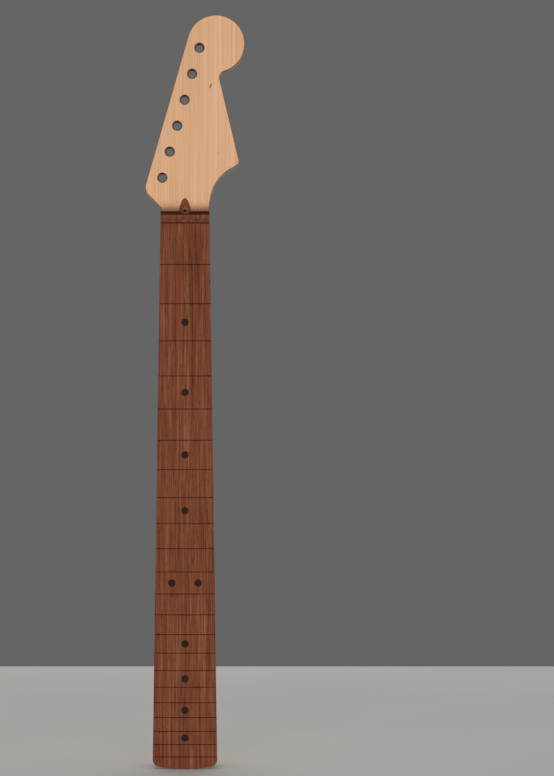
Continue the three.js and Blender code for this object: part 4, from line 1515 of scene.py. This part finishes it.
def make_dots():
    for name, x, z in face_dots():
        def on_crown(a, b):
            return (x + a, float(crown_height(x + a, z + b)) + DOT_SUNK, z + b)
        dot = inlay(f"{name}_inlay", on_crown, (0, FACE_DOT_THICKNESS, 0), FACE_DOT_RADIUS, 48)
        finish_piece(dot, name, black_inlay)
    for name, z in side_dots():
        def on_edge(a, b):
            return (-board_edge(z + b) + DOT_SUNK, SIDE_DOT_Y + a, z + b)
        dot = inlay(f"{name}_inlay", on_edge, (SIDE_DOT_LENGTH, 0, 0), SIDE_DOT_RADIUS, 32)
        finish_piece(dot, name, black_inlay)


make_dots()

# %% [markdown]
# ## The plug
#
# The nut's chamber is drilled in from the headstock, and a slanted plug of walnut closes it again,
# with a hole for the key. The same round cutter that shapes the step above the fretboard then
# trims the plug, so the plug is a long blank here, cut with that same curve.

# %% The plug round the key hole
FACE_CUTTER_STEPS = 40
FACE_CUTTER_REACH = 60


def face_cutter():
    """The round cutter that shapes the step from the fretboard to the headstock's face."""
    centre_y, top = HEAD_FACE_Y - HEAD_CURVE_RADIUS, HEAD_TOP_Z + OVERRUN
    outline = [(HEAD_FACE_Y, top)]
    outline += arc(
        (centre_y, HEAD_CURVE_Z), HEAD_CURVE_RADIUS, 0, -math.pi / 2, FACE_CUTTER_STEPS
    )
    outline.append((centre_y, top))
    return prism("face_cutter", outline, -FACE_CUTTER_REACH, FACE_CUTTER_REACH)


def make_plug():
    piece = plug_blank("headstock_plug_wood", PLUG_BOTTOM)
    piece.data.materials.append(plug_walnut)
    carve(piece, joined("plug_face_cut", [face_cutter()], plug_walnut))
    ends = (PLUG_BOTTOM - OVERRUN, PLUG_BOTTOM + PLUG_REACH)
    origin = ADJUSTER_ORIGIN - Vector((0, KEY_HOLE_FORWARD, 0))
    bore = [(end, KEY_HOLE_RADIUS) for end in ends]
    key_cutter = turned("key_cutter", origin, ADJUSTER_AXIS, bore, sides=32)
    carve(piece, joined("key_hole", [key_cutter], drilled_walnut_shade))
    finish_piece(piece, "headstock_plug")


make_plug()

# %% [markdown]
# ## The truss rod's steel
#
# The anchor is a short round bar that is let into the heel across the rod. Only its end shows, a
# dull disc, so it is turned here with a chamfer that catches a little light. The rod, the washer
# and the nut are shut in. The CAD model's own solids do for them, with a steel finish.

# %% The anchor in the heel
ANCHOR_CHAMFER = 0.4
ANCHOR_SUNK = 0.4
ANCHOR_BORE_LENGTH = 12


def make_anchor():
    tip = ROD_BOTTOM.y - ROD_ROOM - ANCHOR_WALL
    narrow = ANCHOR_RADIUS - ANCHOR_CHAMFER
    profile = [
        (tip, narrow),
        (tip + ANCHOR_CHAMFER, ANCHOR_RADIUS),
        (-ANCHOR_SUNK - ANCHOR_CHAMFER, ANCHOR_RADIUS),
        (-ANCHOR_SUNK, narrow),
    ]
    piece = turned("truss_rod_anchor_steel", (0, 0, ANCHOR_Z), (0, 1, 0), profile)
    way = (ROD_BEND - ROD_BOTTOM).normalized()
    bore = [(-LOOSE_FIT, ROD_ROOM), (ANCHOR_BORE_LENGTH, ROD_ROOM)]
    carve(piece, turned("anchor_thread_cutter", ROD_BOTTOM, way, bore, sides=32))
    finish_piece(piece, "truss_rod_anchor", oiled_steel)


make_anchor()

# %% Steel inside the neck
for node in ("truss_rod", "truss_rod_washer", "truss_rod_nut"):
    frame["nodes"][node].data.materials.clear()
    frame["nodes"][node].data.materials.append(turned_steel)

# %% [markdown]
# ## Floor, light and camera
#
# The neck stands on its end on a pale floor in an even grey room. Two soft panels in front and
# two behind light both of its faces, and a big soft light overhead lights the floor, which throws
# some light back at the heel. The camera looks level along +Y from 2.1 metres, straight at the
# neck. Its shift only moves the neck to the place that it has in the photograph.

# %% Floor and world
FLOOR_SIZE = 1500
floor_z = BOARD_END_Z
half_floor = FLOOR_SIZE / 2
floor = new_piece(
    "floor",
    [
        (-half_floor, -half_floor, floor_z),
        (half_floor, -half_floor, floor_z),
        (half_floor, half_floor, floor_z),
        (-half_floor, half_floor, floor_z),
    ],
    [(0, 1, 2, 3)],
)


# %% A pale painted board
def make_pale_floor():
    # Smooth painted board, matt and very pale.
    material = new_material("pale_floor")
    place = log_place(material, drift=0, over=100)
    cloudy = streaks(material, place, 300, 300, seed=1, detail=2)
    colour = add_node(
        material, "ShaderNodeValToRGB", inputs={"Fac": cloudy},
        stops=[(0.3, "#cfcdc9"), (0.7, "#d5d3cf")],
    ).outputs["Color"]
    return finish_material(material, colour, 0.9, specular=0.0)


floor.data.materials.append(make_pale_floor())

world = bpy.data.worlds.new("grey_room")
world.use_nodes = True
bpy.context.scene.world = world
world.node_tree.nodes["Background"].inputs["Color"].default_value = linear("#656565")
world.node_tree.nodes["Background"].inputs["Strength"].default_value = 1


# %% Lights
def soft_light(name, place, target, size, power):
    light = bpy.data.lights.new(name, "AREA")
    light.shape = "RECTANGLE"
    light.size, light.size_y = (side * MM for side in size)
    light.energy = power
    lamp = bpy.data.objects.new(name, light)
    lamp.location = Vector(place) * MM
    aim = Vector(target) - Vector(place)
    lamp.rotation_euler = aim.to_track_quat("-Z", "Y").to_euler()
    lamp.visible_camera = False
    bpy.context.scene.collection.objects.link(lamp)
    print(f"{name}: {power} W from {aim.length:.0f} mm away")


PANEL_X, PANEL_Y, PANEL_Z = 775, 2400, 250
PANEL_SIZE = (900, 600)
PANEL_POWER = 22
TOP_LIGHT_Z = 2300
TOP_LIGHT_SIZE = (2000, 2000)
TOP_LIGHT_POWER = 20
for front_or_back in (-1, 1):
    for left_or_right in (-1, 1):
        soft_light(
            f"panel_{front_or_back}_{left_or_right}",
            (PANEL_X * left_or_right, PANEL_Y * front_or_back, PANEL_Z),
            (0, 0, PANEL_Z), PANEL_SIZE, PANEL_POWER,
        )
soft_light("top_light", (0, 0, TOP_LIGHT_Z), (0, 0, 0), TOP_LIGHT_SIZE, TOP_LIGHT_POWER)

# Colours are shown as they are mixed, without a film look.
bpy.context.scene.view_settings.view_transform = "Standard"

# %% Camera
CAMERA_PLACE = (0, -2125, 282.1)
CAMERA_LENS = 111.7
CAMERA_SHIFT = 0.1186
camera_data = bpy.data.cameras.new("camera")
camera_data.lens = CAMERA_LENS
camera_data.shift_x = CAMERA_SHIFT
camera_data.clip_end = 50
camera = bpy.data.objects.new("camera", camera_data)
camera.location = Vector(CAMERA_PLACE) * MM
camera.rotation_euler = (math.pi / 2, 0, 0)
bpy.context.scene.collection.objects.link(camera)
bpy.context.scene.camera = camera
print(f"camera: {CAMERA_LENS} mm lens at {CAMERA_PLACE}")
